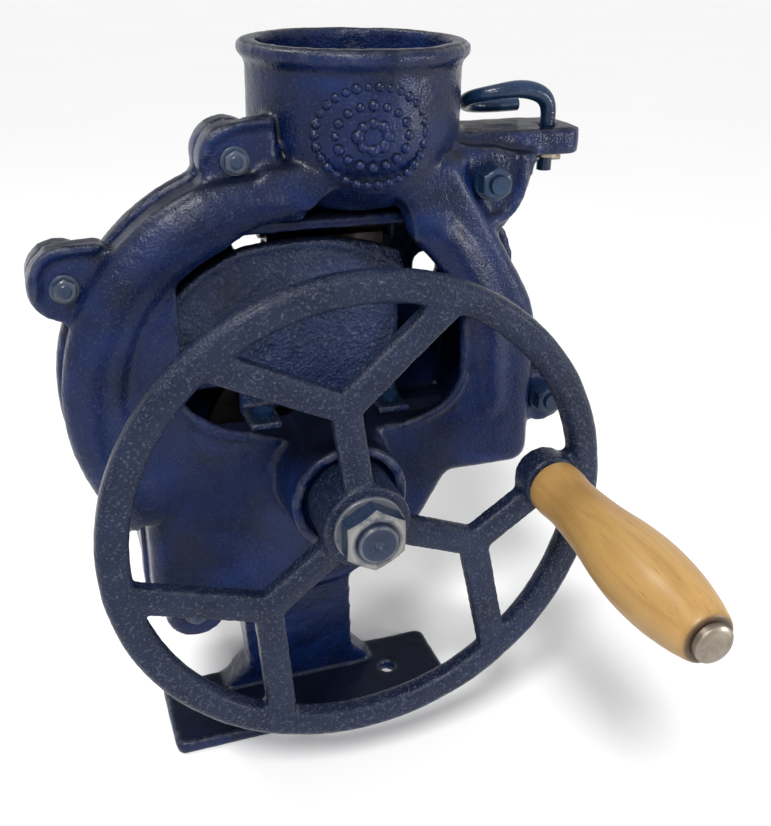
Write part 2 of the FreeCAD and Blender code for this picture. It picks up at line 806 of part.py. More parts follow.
def toothed_disc():
    """Return the disc with its hub and three rings of teeth on the rear face."""
    front, back = size("disc_front"), size("disc_back")
    disc = round_y(size("disc_d"), front, back).fuse(round_y(size("disc_hub_d"), front, size("disc_hub_end")))
    sink = size("overlap") / 2
    teeth = []
    for row in ("in", "mid", "out"):
        radius = size("tooth_row_%s" % row)
        count = int(2 * math.pi * radius / size("tooth_turn"))
        for number in range(count):
            turn = 2 * math.pi * number / count
            foot = Vector(radius * math.cos(turn), back - sink, radius * math.sin(turn))
            teeth.append(Part.makeCone(size("tooth_d") / 2, size("tooth_tip_d") / 2,
                                       size("tooth_high") + sink, foot, Vector(0, 1, 0)))
    disc = disc.fuse(teeth)
    pin_y = size("disc_back + disc_hub_back / 2")
    half = size("disc_hub_d") / 2
    pin_hole = Part.makeCylinder(size("disc_pin_d") / 2, 2 * half, Vector(0, pin_y, -half))
    return disc.cut([round_y(size("shaft_d + 2 * seat_gap"), front, size("disc_hub_end")), pin_hole])


def spoke(angle):
    """Return one forked spoke: a stem from the hub and two branches to the rim."""
    wide, thick = size("spoke_wide"), size("spoke_thick")
    front = size("rim_front + (rim_thick - spoke_thick) / 2")
    spread = size("branch_spread")
    rim = size("wheel_d / 2 - rim_wide / 2")

    def point(radius, turn):
        return Vector(radius * math.cos(math.radians(turn)), front, radius * math.sin(math.radians(turn)))

    def bar(start, end):
        run = end - start
        side = run.cross(Vector(0, 1, 0)).normalize() * (wide / 2)
        corners = [start - side, end - side, end + side, start + side]
        return Part.Face(Part.makePolygon(corners + corners[:1])).extrude(Vector(0, thick, 0))

    fork = point(size("fork_r"), angle)
    bars = [bar(point(size("hub_d") / 4, angle), fork)]
    bars += [bar(fork, point(rim, angle + side * spread)) for side in (-1, 1)]
    return bars + [Part.makeCylinder(wide / 2, thick, fork, Vector(0, 1, 0))]


def crank_place():
    """Return the crank spindle's place from the shaft's axis."""
    turn = math.radians(size("crank_angle"))
    return size("crank_r") * math.cos(turn), size("crank_r") * math.sin(turn)


def hand_wheel():
    """Return the wheel: rounded rim, forked spokes, hub with its keyway and the crank boss."""
    front, back = size("rim_front"), size("rim_back")
    outer = size("wheel_d") / 2
    rim = round_y(2 * outer, front, back).cut(round_y(2 * (outer - size("rim_wide")), front, back))
    rim = rim.makeFillet(size("rim_round"), edges_on(rim, "Y", front) + edges_on(rim, "Y", back))
    pieces = [round_y(size("hub_d"), size("hub_front"), size("hub_back"))]
    for number in range(3):
        pieces += spoke(size("fork_angle") + 120 * number)
    x, z = crank_place()
    pieces.append(round_y(size("crank_boss_d"), size("crank_boss_front"), back, x, z))
    wheel = rim.fuse(pieces)
    key, start = size("key_side"), size("hub_front + key_inset")
    keyway = block(-key / 2, key / 2, start, start + size("key_length"),
                   0, size("shaft_r + key_side / 2 + seat_gap"))
    return wheel.cut([round_y(size("shaft_d + 2 * seat_gap"), size("hub_front"), size("hub_back")), keyway,
                      round_y(size("spindle_d"), size("crank_boss_front"), back, x, z)]).removeSplitter()


def wooden_grip():
    """Return the turned grip with its waisted neck and full belly, bored for the spindle."""
    base, end, long = size("grip_base"), size("grip_end"), size("grip_length")
    shares = [(0.0, "grip_base_d"), (0.16, "grip_neck_d"), (0.64, "grip_belly_d"), (1.0, "grip_end_d")]
    x, z = crank_place()
    points = [Vector(x + size(name) / 2, base - share * long, z) for share, name in shares]
    tip, heel = Vector(x, end, z), Vector(x, base, z)
    curve = Part.BSplineCurve()
    curve.interpolate(points)
    edges = [curve.toShape(), Part.makeLine(points[-1], tip), Part.makeLine(tip, heel),
             Part.makeLine(heel, points[0])]
    wood = Part.Face(Part.Wire(edges)).revolve(heel, Vector(0, 1, 0), 360)
    return wood.cut(round_y(size("spindle_d + 2 * run_gap"), end, base, x, z))


def bail():
    """Return the bent rod: a leg in the ledge, an arm towards the hopper and a loop back behind it."""
    x, y = size("bail_x"), size("bail_y")
    low = size("ledge_under - bail_tang")
    top = size("ledge_top + bail_rise")
    bend, loop, drop = size("bail_bend"), size("bail_loop_d") / 2, size("bail_drop")
    near = x - size("bail_reach")
    corner = math.sqrt(0.5) * bend
    leg = Part.makeLine(Vector(x, y, low), Vector(x, y, top - bend))
    elbow = Part.Arc(Vector(x, y, top - bend), Vector(x - bend + corner, y, top - bend + corner),
                     Vector(x - bend, y, top)).toShape()
    arm = Part.makeLine(Vector(x - bend, y, top), Vector(near, y, top))
    slant = math.hypot(loop, drop / 2)
    rear, low_top = y + 2 * loop, top - drop
    turn = Part.Arc(Vector(near, y, top), Vector(near - slant, y + loop, top - drop / 2),
                    Vector(near, rear, low_top)).toShape()
    tail = Part.makeLine(Vector(near, rear, low_top), Vector(near + size("bail_tail"), rear, low_top))
    path = Part.Wire([leg, elbow, arm, turn, tail])
    ring = Part.Wire([Part.makeCircle(size("bail_d") / 2, Vector(x, y, low), Vector(0, 0, 1))])
    rod = path.makePipeShell([ring], True, True)
    cotter = cotter_solid()
    return rod.cut(cotter)


def cotter_solid():
    """Return the cross pin under the ledge that keeps the bail's leg in place."""
    long = size("bail_cotter_length")
    z = size("ledge_under - face_gap - bail_washer_thick - bail_cotter_d / 2 - face_gap")
    return Part.makeCylinder(size("bail_cotter_d") / 2, long,
                             Vector(size("bail_x") - long / 2, size("bail_y"), z), Vector(1, 0, 0))


# Castings, wheel and bent pieces
keep(feature("FrontCasting", front_casting()), "front_casting")
keep(feature("RearCasting", rear_casting()), "rear_casting")
keep(feature("ShieldPlate", shield_plate()), "shield_plate")
keep(feature("HandWheel", hand_wheel()), "hand_wheel")
keep(feature("ToothedDisc", toothed_disc()), "toothed_disc")
keep(feature("PressurePlate", pressure_plate()), "pressure_plate")
keep(feature("LeafSpring", leaf_spring()), "leaf_spring")
keep(feature("HandleGrip", wooden_grip()), "handle_grip")
keep(feature("TensionBail", bail()), "tension_bail")
keep(feature("BailCotter", cotter_solid()), "bail_cotter")

# Bearing bushes
keep(turned("FrontBush", [
    ("shaft_r + run_gap", "front_flange"), ("bush_flange_d / 2", "front_flange"),
    ("bush_flange_d / 2", "recess_floor"), ("bush_d / 2", "recess_floor"),
    ("bush_d / 2", "0"), ("shaft_r + run_gap", "0")]), "front_bush")
keep(turned("RearBush", [
    ("shaft_r + run_gap", "rear_boss_front"), ("bush_d / 2", "rear_boss_front"),
    ("bush_d / 2", "rear_boss_back"), ("bush_flange_d / 2", "rear_boss_back"),
    ("bush_flange_d / 2", "rear_flange"), ("shaft_r + run_gap", "rear_flange")]), "rear_bush")

# Shaft with its keyway and pin hole
bar = turned("ShaftBar", [("0", "shaft_front"), ("shaft_r", "shaft_front"), ("shaft_r", "shaft_back"),
                          ("0", "shaft_back")])


def key_block(label):
    """Make the square key that stands half in the shaft and half in the hub."""
    key = doc.addObject("Part::Box", label)
    bind(key, "Length", "key_side")
    bind(key, "Width", "key_length")
    bind(key, "Height", "key_side")
    put(key, "(-key_side / 2)", "hub_front + key_inset", "(shaft_r - key_side / 2)")
    return key


def disc_pin(label):
    """Make the cross pin through the disc's hub and the shaft."""
    return upright(label, "disc_pin_d", "(-disc_hub_d / 2)", "(disc_hub_d / 2)",
                   "0", "disc_back + disc_hub_back / 2")


keep(cut("Shaft", cut("ShaftKeyed", bar, key_block("KeySlot")), disc_pin("PinSlot")), "shaft")
keep(key_block("WheelKey"), "wheel_key")
keep(disc_pin("DiscPin"), "disc_pin")

# Wheel fasteners
washer = cylinder("WasherBlank", "wheel_washer_d", "nut_back", "hub_front")
washer_hole = cylinder("WasherHole", "shaft_d + 2 * seat_gap", "nut_back", "hub_front")
keep(cut("WheelWasher", washer, washer_hole), "wheel_washer")
nut = hexagon("NutBlank", "wheel_nut_flats", "nut_front", "nut_back")
nut_hole = cylinder("NutHole", "shaft_d + 2 * seat_gap", "nut_front", "nut_back")
keep(cut("WheelNut", nut, nut_hole), "wheel_nut")

# Thrust collar and its set screw
collar_middle = "(collar_front + collar_back) / 2"
collar = cylinder("CollarBlank", "collar_d", "collar_front", "collar_back")
collar_bore = cylinder("CollarBore", "shaft_d + 2 * seat_gap", "collar_front", "collar_back")
collar_thread = upright("CollarThread", "collar_screw_d", "0", "(collar_d / 2)", "0", collar_middle)
keep(cut("ThrustCollar", cut("CollarRing", collar, collar_bore), collar_thread), "thrust_collar")
keep(upright("CollarScrew", "collar_screw_d", "(shaft_r + seat_gap)", "(collar_d / 2 - overlap)", "0",
             collar_middle), "collar_screw")

# Crank spindle with its flat head, and the washer under the grip
CRANK_X = "(crank_r * cos(crank_angle * 1 deg))"
CRANK_Z = "(crank_r * sin(crank_angle * 1 deg))"
spindle = cylinder("SpindleBar", "spindle_d", "spindle_head_back", "rim_back", CRANK_X, CRANK_Z)
head = cylinder("SpindleHead", "spindle_head_d", "spindle_head_back - spindle_head_thick",
                "spindle_head_back", CRANK_X, CRANK_Z)
keep(fuse("CrankSpindle", [spindle, head]), "crank_spindle")
grip_washer = cylinder("GripWasherBlank", "grip_washer_d", "crank_boss_front - grip_washer_thick",
                       "crank_boss_front", CRANK_X, CRANK_Z)
grip_hole = cylinder("GripWasherHole", "spindle_d + 2 * seat_gap", "crank_boss_front - grip_washer_thick",
                     "crank_boss_front", CRANK_X, CRANK_Z)
keep(cut("GripWasher", grip_washer, grip_hole), "grip_washer")

# Casing screws in the left-hand lugs
screws = []
for name in LUGS[:3]:
    x, z = "lug_%s_x" % name, "lug_%s_z" % name
    shank = cylinder("ScrewShank_" + name, "screw_d", "(-lug_front)", "screw_grip", x, z)
    cap = cylinder("ScrewHead_" + name, "screw_head_d", "(-lug_front - screw_head_high)", "(-lug_front)",
                   x, z)
    screws.append(fuse("CasingScrew_" + name, [shank, cap]))
keep(group("CasingScrews", screws), "casing_screws")

# Through bolts, nuts and washers in the right-hand lugs
bolts, nuts, washers = [], [], []
for name in LUGS[3:]:
    x, z = "lug_%s_x" % name, "lug_%s_z" % name
    nut_seat = "(-lug_front - bolt_washer_thick)"
    nut_end = "(-lug_front - bolt_washer_thick - nut_thick)"
    shank = cylinder("BoltShank_" + name, "screw_d", nut_end + " - bolt_proud", "lug_back", x, z)
    cap = hexagon("BoltHead_" + name, "nut_flats", "lug_back", "lug_back + bolt_head_thick", x, z)
    bolts.append(fuse("CasingBolt_" + name, [shank, cap]))
    blank = hexagon("CasingNutBlank_" + name, "nut_flats", nut_end, nut_seat, x, z)
    hole = cylinder("CasingNutHole_" + name, "screw_d + 2 * seat_gap", nut_end, nut_seat, x, z)
    nuts.append(cut("CasingNut_" + name, blank, hole))
    ring = cylinder("BoltWasherBlank_" + name, "bolt_washer_d", nut_seat, "(-lug_front)", x, z)
    hole = cylinder("BoltWasherHole_" + name, "screw_d + 2 * seat_gap", nut_seat, "(-lug_front)", x, z)
    washers.append(cut("BoltWasher_" + name, ring, hole))
keep(group("CasingBolts", bolts), "casing_bolts")
keep(group("CasingNuts", nuts), "casing_nuts")
keep(group("CasingWashers", washers), "casing_washers")

# Shield screws on the sill
SHIELD_SCREWS = {"left": "(-shield_slot_right + shield_tab_wide / 2)",
                 "right": "(shield_right - shield_tab_wide / 2)"}
SHIELD_Y = "shield_front - shield_tab / 2"
screws = []
for name, x in SHIELD_SCREWS.items():
    seat = "(sill_top + shield_tab_thick)"
    shank = upright("ShieldShank_" + name, "shield_screw_d", seat + " - shield_tab_thick - shield_screw_grip",
                    seat, x, SHIELD_Y)
    cap = upright("ShieldHead_" + name, "shield_screw_head_d", seat, seat + " + shield_screw_head_high",
                  x, SHIELD_Y)
    screws.append(fuse("ShieldScrew_" + name, [shank, cap]))
keep(group("ShieldScrews", screws), "shield_screws")


def sideways(label, across, start, end, y, z):
    """Make a round bar along X from start to end."""
    bar_x = doc.addObject("Part::Cylinder", label)
    bar_x.Placement.Rotation = Rotation(Vector(0, 1, 0), 90)
    bind(bar_x, "Radius", "(%s) / 2" % across)
    bind(bar_x, "Height", "(%s) - (%s)" % (end, start))
    put(bar_x, start, y, z)
    return bar_x


# Hinge pin of the pressure plate, with a collar at each end
EAR_REACH = "(press_wide / 2 + ear_side_gap + ear_thick)"
PIN_REACH = "(press_wide / 2 + ear_side_gap + ear_thick + pin_collar_thick)"
keep(sideways("HingePin", "pin_d", "(hopper_x - %s)" % PIN_REACH, "(hopper_x + %s)" % PIN_REACH,
              "pin_y", "pin_z"), "hinge_pin")
rings = []
for name, start, end in (("left", "(hopper_x - %s)" % PIN_REACH, "(hopper_x - %s)" % EAR_REACH),
                         ("right", "(hopper_x + %s)" % EAR_REACH, "(hopper_x + %s)" % PIN_REACH)):
    blank = sideways("PinCollarBlank_" + name, "pin_collar_d", start, end, "pin_y", "pin_z")
    hole = sideways("PinCollarHole_" + name, "pin_d + 2 * seat_gap", start, end, "pin_y", "pin_z")
    rings.append(cut("PinCollar_" + name, blank, hole))
keep(group("PinCollars", rings), "pin_collars")

# Leaf spring screw, headed inside and threaded through the back wall
shank = cylinder("LeafShank", "leaf_screw_d", "rear_depth - leaf_thick", "rear_face",
                 "hopper_x", "leaf_screw_z")
cap = cylinder("LeafHead", "leaf_screw_head_d", "rear_depth - leaf_thick - leaf_screw_head_high",
               "rear_depth - leaf_thick", "hopper_x", "leaf_screw_z")
keep(fuse("LeafScrew", [shank, cap]), "leaf_screw")

# Washer under the ledge on the bail's leg
BAIL_WASHER_TOP = "(ledge_under - face_gap)"
BAIL_WASHER_LOW = "(ledge_under - face_gap - bail_washer_thick)"
blank = upright("BailWasherBlank", "bail_washer_d", BAIL_WASHER_LOW, BAIL_WASHER_TOP, "bail_x", "bail_y")
hole = upright("BailWasherHole", "bail_d + 2 * seat_gap", BAIL_WASHER_LOW, BAIL_WASHER_TOP,
               "bail_x", "bail_y")
keep(cut("BailWasher", blank, hole), "bail_washer")

doc.recompute()
failed = [item.Name for item in doc.Objects if "Invalid" in item.State or "Error" in item.State]
failed += [item.Label for item in SUB_PARTS if item.Shape.isNull() or not item.Shape.isValid()]
if failed:
    raise RuntimeError("not built: " + ", ".join(failed))

os.makedirs("parts", exist_ok=True)
for item in SUB_PARTS:
    item.Shape.exportStep("parts/%s.step" % item.Label)
    print(item.Label, len(item.Shape.Solids), round(item.Shape.Volume))
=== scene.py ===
import json
import logging
import math
from collections.abc import Callable, Sequence
from dataclasses import dataclass, field
from enum import Enum

import bmesh
import bpy
import numpy as np
from mathutils import Matrix, Vector, noise


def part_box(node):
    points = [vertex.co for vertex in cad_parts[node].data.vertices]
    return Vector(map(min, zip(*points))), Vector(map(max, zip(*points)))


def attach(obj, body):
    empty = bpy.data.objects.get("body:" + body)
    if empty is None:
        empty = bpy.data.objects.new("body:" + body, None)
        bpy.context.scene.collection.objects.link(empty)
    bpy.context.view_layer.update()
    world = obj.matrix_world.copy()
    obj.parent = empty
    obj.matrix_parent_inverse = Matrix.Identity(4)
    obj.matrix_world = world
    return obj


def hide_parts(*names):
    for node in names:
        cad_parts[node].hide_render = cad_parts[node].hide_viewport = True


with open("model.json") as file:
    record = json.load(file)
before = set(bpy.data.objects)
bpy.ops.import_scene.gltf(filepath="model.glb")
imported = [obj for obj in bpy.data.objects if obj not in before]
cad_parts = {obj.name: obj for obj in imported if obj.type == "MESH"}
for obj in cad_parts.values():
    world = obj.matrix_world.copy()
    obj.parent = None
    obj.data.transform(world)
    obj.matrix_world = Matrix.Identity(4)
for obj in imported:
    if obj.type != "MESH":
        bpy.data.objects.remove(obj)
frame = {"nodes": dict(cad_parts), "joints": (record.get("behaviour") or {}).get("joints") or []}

log = logging.getLogger("disc_sheller")

MM = 0.001
MERGE = 1e-6
ACROSS = Vector((0.0, 1.0, 0.0))
SHARP = math.radians(32)
LEVEL_START, LEVEL_RISE = 0.30, 0.55
HOPPER_X, HOPPER_Y, HOPPER_RADIUS = 23.0, 17.0, 48.0
Colour = tuple[float, float, float]
Point = tuple[float, float, float]
Corner = tuple[float, float]


def joint_place(name: str) -> Vector:
    """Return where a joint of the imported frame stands.

    Args:
        name: The joint's name in the record.

    Returns:
        The joint's point, in metres.
    """
    return Vector(next(joint["pos_m"] for joint in frame["joints"] if joint["name"] == name))


SHAFT = joint_place("crank_turn")
CRANK = joint_place("grip_spin")


def place(x: float, y: float, z: float) -> Vector:
    """Return a point given in millimetres from the shaft's axis and the parting plane.

    Args:
        x: Distance to the right of the shaft.
        y: Distance behind the parting plane.
        z: Height above the shaft.

    Returns:
        The point in the frame, in metres.
    """
    return SHAFT + Vector((x, y, z)) * MM


class Slot(Enum):
    """The record's material slots that new pieces take."""

    CASTING = "casting_enamel"
    FASTENER = "fastener_enamel"
    STEEL = "bare_steel"
    WOOD = "grip_wood"


class Body(Enum):
    """The rigid bodies that new pieces ride on."""

    FRAME = "frame"
    ROTOR = "rotor"
    GRIP = "grip"
    BAIL = "bail"


class Lug(Enum):
    """Places of the casing's bolting ears, in millimetres from the shaft's axis."""

    HOPPER_LEFT = (-38.5, 148.0)
    SHOULDER = (-111.5, 100.0)
    FLOOR = (-68.0, -72.0)
    HOPPER_RIGHT = (78.5, 132.5)
    BLOCK = (115.5, 21.0)


# Surface finishes


class Shader:
    """A small writer of node materials, in the object's own coordinates."""

    # Places of the colour sockets on a Mix node
    first_colour, second_colour, mixed_colour = 6, 7, 2

    def __init__(self, name: str) -> None:
        """Start a material with an empty surface.

        Args:
            name: The material's name.
        """
        self.material = bpy.data.materials.new(name)
        self.material.use_nodes = True
        self.tree = self.material.node_tree
        self.tree.nodes.clear()
        self.output = self.tree.nodes.new("ShaderNodeOutputMaterial")
        self.surface = self.tree.nodes.new("ShaderNodeBsdfPrincipled")
        self.tree.links.new(self.surface.outputs[0], self.output.inputs[0])
        self.points = self.tree.nodes.new("ShaderNodeTexCoord").outputs["Object"]

    def feed(self, socket: bpy.types.NodeSocket, value: object) -> None:
        """Link a socket, or set its own value.

        Args:
            socket: The input to feed.
            value: Another socket, a number or a colour.
        """
        if isinstance(value, bpy.types.NodeSocket):
            self.tree.links.new(value, socket)
        elif isinstance(value, tuple):
            socket.default_value = (*value, 1.0)
        else:
            socket.default_value = value

    def noise(self, scale: float, detail: float = 4.0, stretch: Point = (1.0, 1.0, 1.0),
              twist: float = 0.0) -> bpy.types.NodeSocket:
        """Return soft noise.

        Args:
            scale: Grains to the metre.
            detail: Number of finer layers.
            stretch: Scale along each axis.
            twist: How far the noise is distorted.

        Returns:
            The noise as a grey value.
        """
        mapping = self.tree.nodes.new("ShaderNodeMapping")
        mapping.inputs["Scale"].default_value = stretch
        self.tree.links.new(self.points, mapping.inputs["Vector"])
        grain = self.tree.nodes.new("ShaderNodeTexNoise")
        grain.inputs["Scale"].default_value = scale
        grain.inputs["Detail"].default_value = detail
        grain.inputs["Distortion"].default_value = twist
        self.tree.links.new(mapping.outputs["Vector"], grain.inputs["Vector"])
        return grain.outputs[0]

    def cells(self, scale: float) -> bpy.types.NodeSocket:
        """Return the distance to scattered points, for dents and specks.

        Args:
            scale: Points to the metre.

        Returns:
            The distance as a grey value.
        """
        dots = self.tree.nodes.new("ShaderNodeTexVoronoi")
        dots.inputs["Scale"].default_value = scale
        self.tree.links.new(self.points, dots.inputs["Vector"])
        return dots.outputs["Distance"]

    def attribute(self, name: str) -> bpy.types.NodeSocket:
        """Return a value stored on the mesh.

        Args:
            name: The attribute's name.

        Returns:
            The value's socket.
        """
        reader = self.tree.nodes.new("ShaderNodeAttribute")
        reader.attribute_name = name
        return reader.outputs["Fac"]

    def span(self, value: bpy.types.NodeSocket, low: float, high: float,
             start: float = 0.0, end: float = 1.0) -> bpy.types.NodeSocket:
        """Stretch part of a value's range over another range.

        Args:
            value: The value to stretch.
            low: Where the part starts.
            high: Where the part ends.
            start: The result at the part's start.
            end: The result at the part's end.

        Returns:
            The stretched value.
        """
        stretch = self.tree.nodes.new("ShaderNodeMapRange")
        for name, number in (("From Min", low), ("From Max", high), ("To Min", start), ("To Max", end)):
            stretch.inputs[name].default_value = number
        self.tree.links.new(value, stretch.inputs["Value"])
        return stretch.outputs[0]

    def maths(self, kind: str, first: object, second: object) -> bpy.types.NodeSocket:
        """Join two values.

        Args:
            kind: The operation, such as MULTIPLY.
            first: A socket or a number.
            second: A socket or a number.

        Returns:
            The result.
        """
        step = self.tree.nodes.new("ShaderNodeMath")
        step.operation = kind
        step.use_clamp = True
        self.feed(step.inputs[0], first)
        self.feed(step.inputs[1], second)
        return step.outputs[0]

    def mix(self, share: bpy.types.NodeSocket, first: object, second: object) -> bpy.types.NodeSocket:
        """Mix two colours.

        Args:
            share: How much of the second colour shows.
            first: A colour or a colour socket.
            second: A colour or a colour socket.

        Returns:
            The mixed colour.
        """
        blend = self.tree.nodes.new("ShaderNodeMix")
        blend.data_type = "RGBA"
        self.tree.links.new(share, blend.inputs[0])
        self.feed(blend.inputs[self.first_colour], first)
        self.feed(blend.inputs[self.second_colour], second)
        return blend.outputs[self.mixed_colour]

    def bump(self, height: bpy.types.NodeSocket, depth: float,
             under: bpy.types.NodeSocket | None = None) -> bpy.types.NodeSocket:
        """Return a bumped normal.

        Args:
            height: The height field.
            depth: The bump's depth in metres.
            under: A normal that is bumped already.

        Returns:
            The normal's socket.
        """
        relief = self.tree.nodes.new("ShaderNodeBump")
        relief.inputs["Strength"].default_value = 1.0
        relief.inputs["Distance"].default_value = depth
        self.tree.links.new(height, relief.inputs["Height"])
        if under is not None:
            self.tree.links.new(under, relief.inputs["Normal"])
        return relief.outputs[0]

    def close(self, colour: object, roughness: object, normal: object | None = None,
              **further: object) -> bpy.types.Material:
        """Feed the surface and return the material.

        Args:
            colour: A colour or a colour socket.
            roughness: A number or a socket.
            normal: A bumped normal.
            **further: Further inputs of the surface, with _ for a space.

        Returns:
            The finished material.
        """
        self.feed(self.surface.inputs["Base Color"], colour)
        self.feed(self.surface.inputs["Roughness"], roughness)
        if normal is not None:
            self.feed(self.surface.inputs["Normal"], normal)
        for name, value in further.items():
            self.feed(self.surface.inputs[name.replace("_", " ")], value)
        return self.material


@dataclass(frozen=True)
class Enamel:
    """Brushed blue enamel over sand-cast iron, with painted shade in its creases, dust and a painted dull
    sheen on upward faces, and painted glints on its grit.
    """

    name: str
    deep: Colour = (0.0013, 0.0054, 0.028)
    bright: Colour = (0.0029, 0.0130, 0.069)
    # painted shade: a near-black blue that darkens concave creases
    crease_shade: Colour = (0.0010, 0.0022, 0.0060)
    # partly real grit, partly painted glints: pale grains on the sand's peaks
    grit_and_glint: Colour = (0.050, 0.065, 0.110)
    # partly real dust, partly a painted dull sheen: a grey-brown that stands for the light on upward faces
    # and darkens them
    dust_and_sheen: Colour = (0.0065, 0.0070, 0.0085)
    metal: Colour = (0.25, 0.245, 0.235)
    grit_and_glint_share: float = 0.40
    dust_and_sheen_share: float = 0.92
    wear_share: float = 0.14
    patch: tuple[float, float] = (0.42, 0.66)
    sand: float = 900.0
    dent: float = 165.0
    cloud: float = 38.0
    cloud_span: Corner = (0.34, 0.68)
    grit_and_glint_span: Corner = (0.55, 0.76)
    dust_and_sheen_span: Corner = (0.25, 0.75)
    gloss_span: Corner = (0.3, 0.7)
    flat_span: Corner = (0.80, 1.0)
    thin_dust_and_sheen: float = 0.55
    sand_depth: float = 0.00032
    dent_depth: float = 0.0005
    smooth: float = 0.16
    rough: float = 0.32
    shine: float = 0.22
    coat: float = 0.04

    def make(self) -> bpy.types.Material:
        """Make the material.

        Returns:
            The finished material.
        """
        shader = Shader(self.name)
        broad = shader.noise(self.cloud, 5.0, twist=0.6)
        sand = shader.noise(self.sand, 3.0)
        dents = shader.noise(self.dent, 3.0, twist=0.3)
        paint = shader.mix(shader.span(broad, *self.cloud_span), self.deep, self.bright)
        # pale dots on the sand's peaks, partly grit and partly painted glints
        grit_and_glint_mask = shader.span(sand, *self.grit_and_glint_span, 0.0, self.grit_and_glint_share)
        paint = shader.mix(grit_and_glint_mask, paint, self.grit_and_glint)
        # partly dust, partly painted sheen and shade: upward faces are turned patchily towards a dull
        # grey-brown
        patchy = shader.span(broad, *self.dust_and_sheen_span, self.thin_dust_and_sheen, 1.0)
        dust_and_sheen_mask = shader.maths("MULTIPLY", shader.attribute("upward"), patchy)
        paint = shader.mix(shader.maths("MULTIPLY", dust_and_sheen_mask, self.dust_and_sheen_share), paint, self.dust_and_sheen)
        # painted shade: concave places are darkened towards the near-black crease colour
        paint = shader.mix(shader.attribute("hollow_shade"), paint, self.crease_shade)
        rubbed = shader.maths("MULTIPLY", shader.attribute("wear_and_shade"), shader.span(dents, *self.patch))
        paint = shader.mix(shader.maths("MULTIPLY", rubbed, self.wear_share), paint, self.metal)
        relief = shader.bump(dents, self.dent_depth)
        relief = shader.bump(sand, self.sand_depth, relief)
        roughness = shader.span(broad, *self.gloss_span, self.smooth, self.rough)
        dull = self.shine * (1.0 - self.dust_and_sheen_share)
        level = shader.span(shader.attribute("upward"), *self.flat_span, self.shine, dull)
        return shader.close(paint, roughness, relief, Specular_IOR_Level=level,
                            Coat_Weight=self.coat, Coat_Roughness=0.2)


@dataclass(frozen=True)
class Metal:
    """Bare metal with dull patches and fine scratches."""

    name: str
    light: Colour
    dark: Colour
    smooth: float = 0.28
    rough: float = 0.52
    patch: float = 95.0
    scratch: float = 240.0
    scratch_depth: float = 0.00006

    def make(self) -> bpy.types.Material:
        """Make the material.

        Returns:
            The finished material.
        """
        shader = Shader(self.name)
        patches = shader.noise(self.patch, 6.0, twist=0.4)
        scratches = shader.noise(self.scratch, 2.0, stretch=(1.0, 14.0, 1.0))
        tone = shader.mix(shader.span(patches, 0.36, 0.66), self.dark, self.light)
        relief = shader.bump(scratches, self.scratch_depth)
        roughness = shader.span(patches, 0.3, 0.7, self.rough, self.smooth)
        return shader.close(tone, roughness, relief, Metallic=1.0)


@dataclass(frozen=True)
class Wood:
    """Varnished turned wood with its grain along the crank spindle, and painted shade at the grip's ends."""

    name: str
    light: Colour = (0.43, 0.255, 0.082)
    dark: Colour = (0.27, 0.130, 0.035)
    # dark brown for real specks, also used as painted shade on the grip's ends
    speck_and_shade: Colour = (0.045, 0.024, 0.012)
    grain: float = 150.0
    pore: float = 900.0
    cloud: float = 24.0
    speck_scale: float = 62.0
    pore_depth: float = 0.00008
    smooth: float = 0.36
    rough: float = 0.50
    shine: float = 0.35
    varnish: float = 0.12

    def make(self) -> bpy.types.Material:
        """Make the material.

        Returns:
            The finished material.
        """
        shader = Shader(self.name)
        grain = shader.noise(self.grain, 6.0, stretch=(1.0, 0.06, 1.0), twist=0.8)
        pores = shader.noise(self.pore, 2.0, stretch=(1.0, 0.05, 1.0))
        broad = shader.noise(self.cloud, 3.0)
        tone = shader.mix(shader.span(grain, 0.40, 0.66, 0.0, 0.48), self.light, self.dark)
        tone = shader.mix(shader.span(broad, 0.45, 0.75, 0.0, 0.30), tone, self.dark)
        tone = shader.mix(shader.span(pores, 0.60, 0.78, 0.0, 0.6), tone, self.dark)
        specks = shader.span(shader.cells(self.speck_scale), 0.05, 0.025)
        few = shader.span(shader.noise(31.0, 1.0), 0.48, 0.54)
        tone = shader.mix(shader.maths("MULTIPLY", specks, few), tone, self.speck_and_shade)
        # painted shade: the grip's base face and its end round the rivet are darkened by the stored mark
        tone = shader.mix(shader.attribute("wear_and_shade"), tone, self.speck_and_shade)
        relief = shader.bump(pores, self.pore_depth)
        roughness = shader.span(grain, 0.3, 0.7, self.smooth, self.rough)
        return shader.close(tone, roughness, relief, Specular_IOR_Level=self.shine,
                            Coat_Weight=self.varnish, Coat_Roughness=0.3)


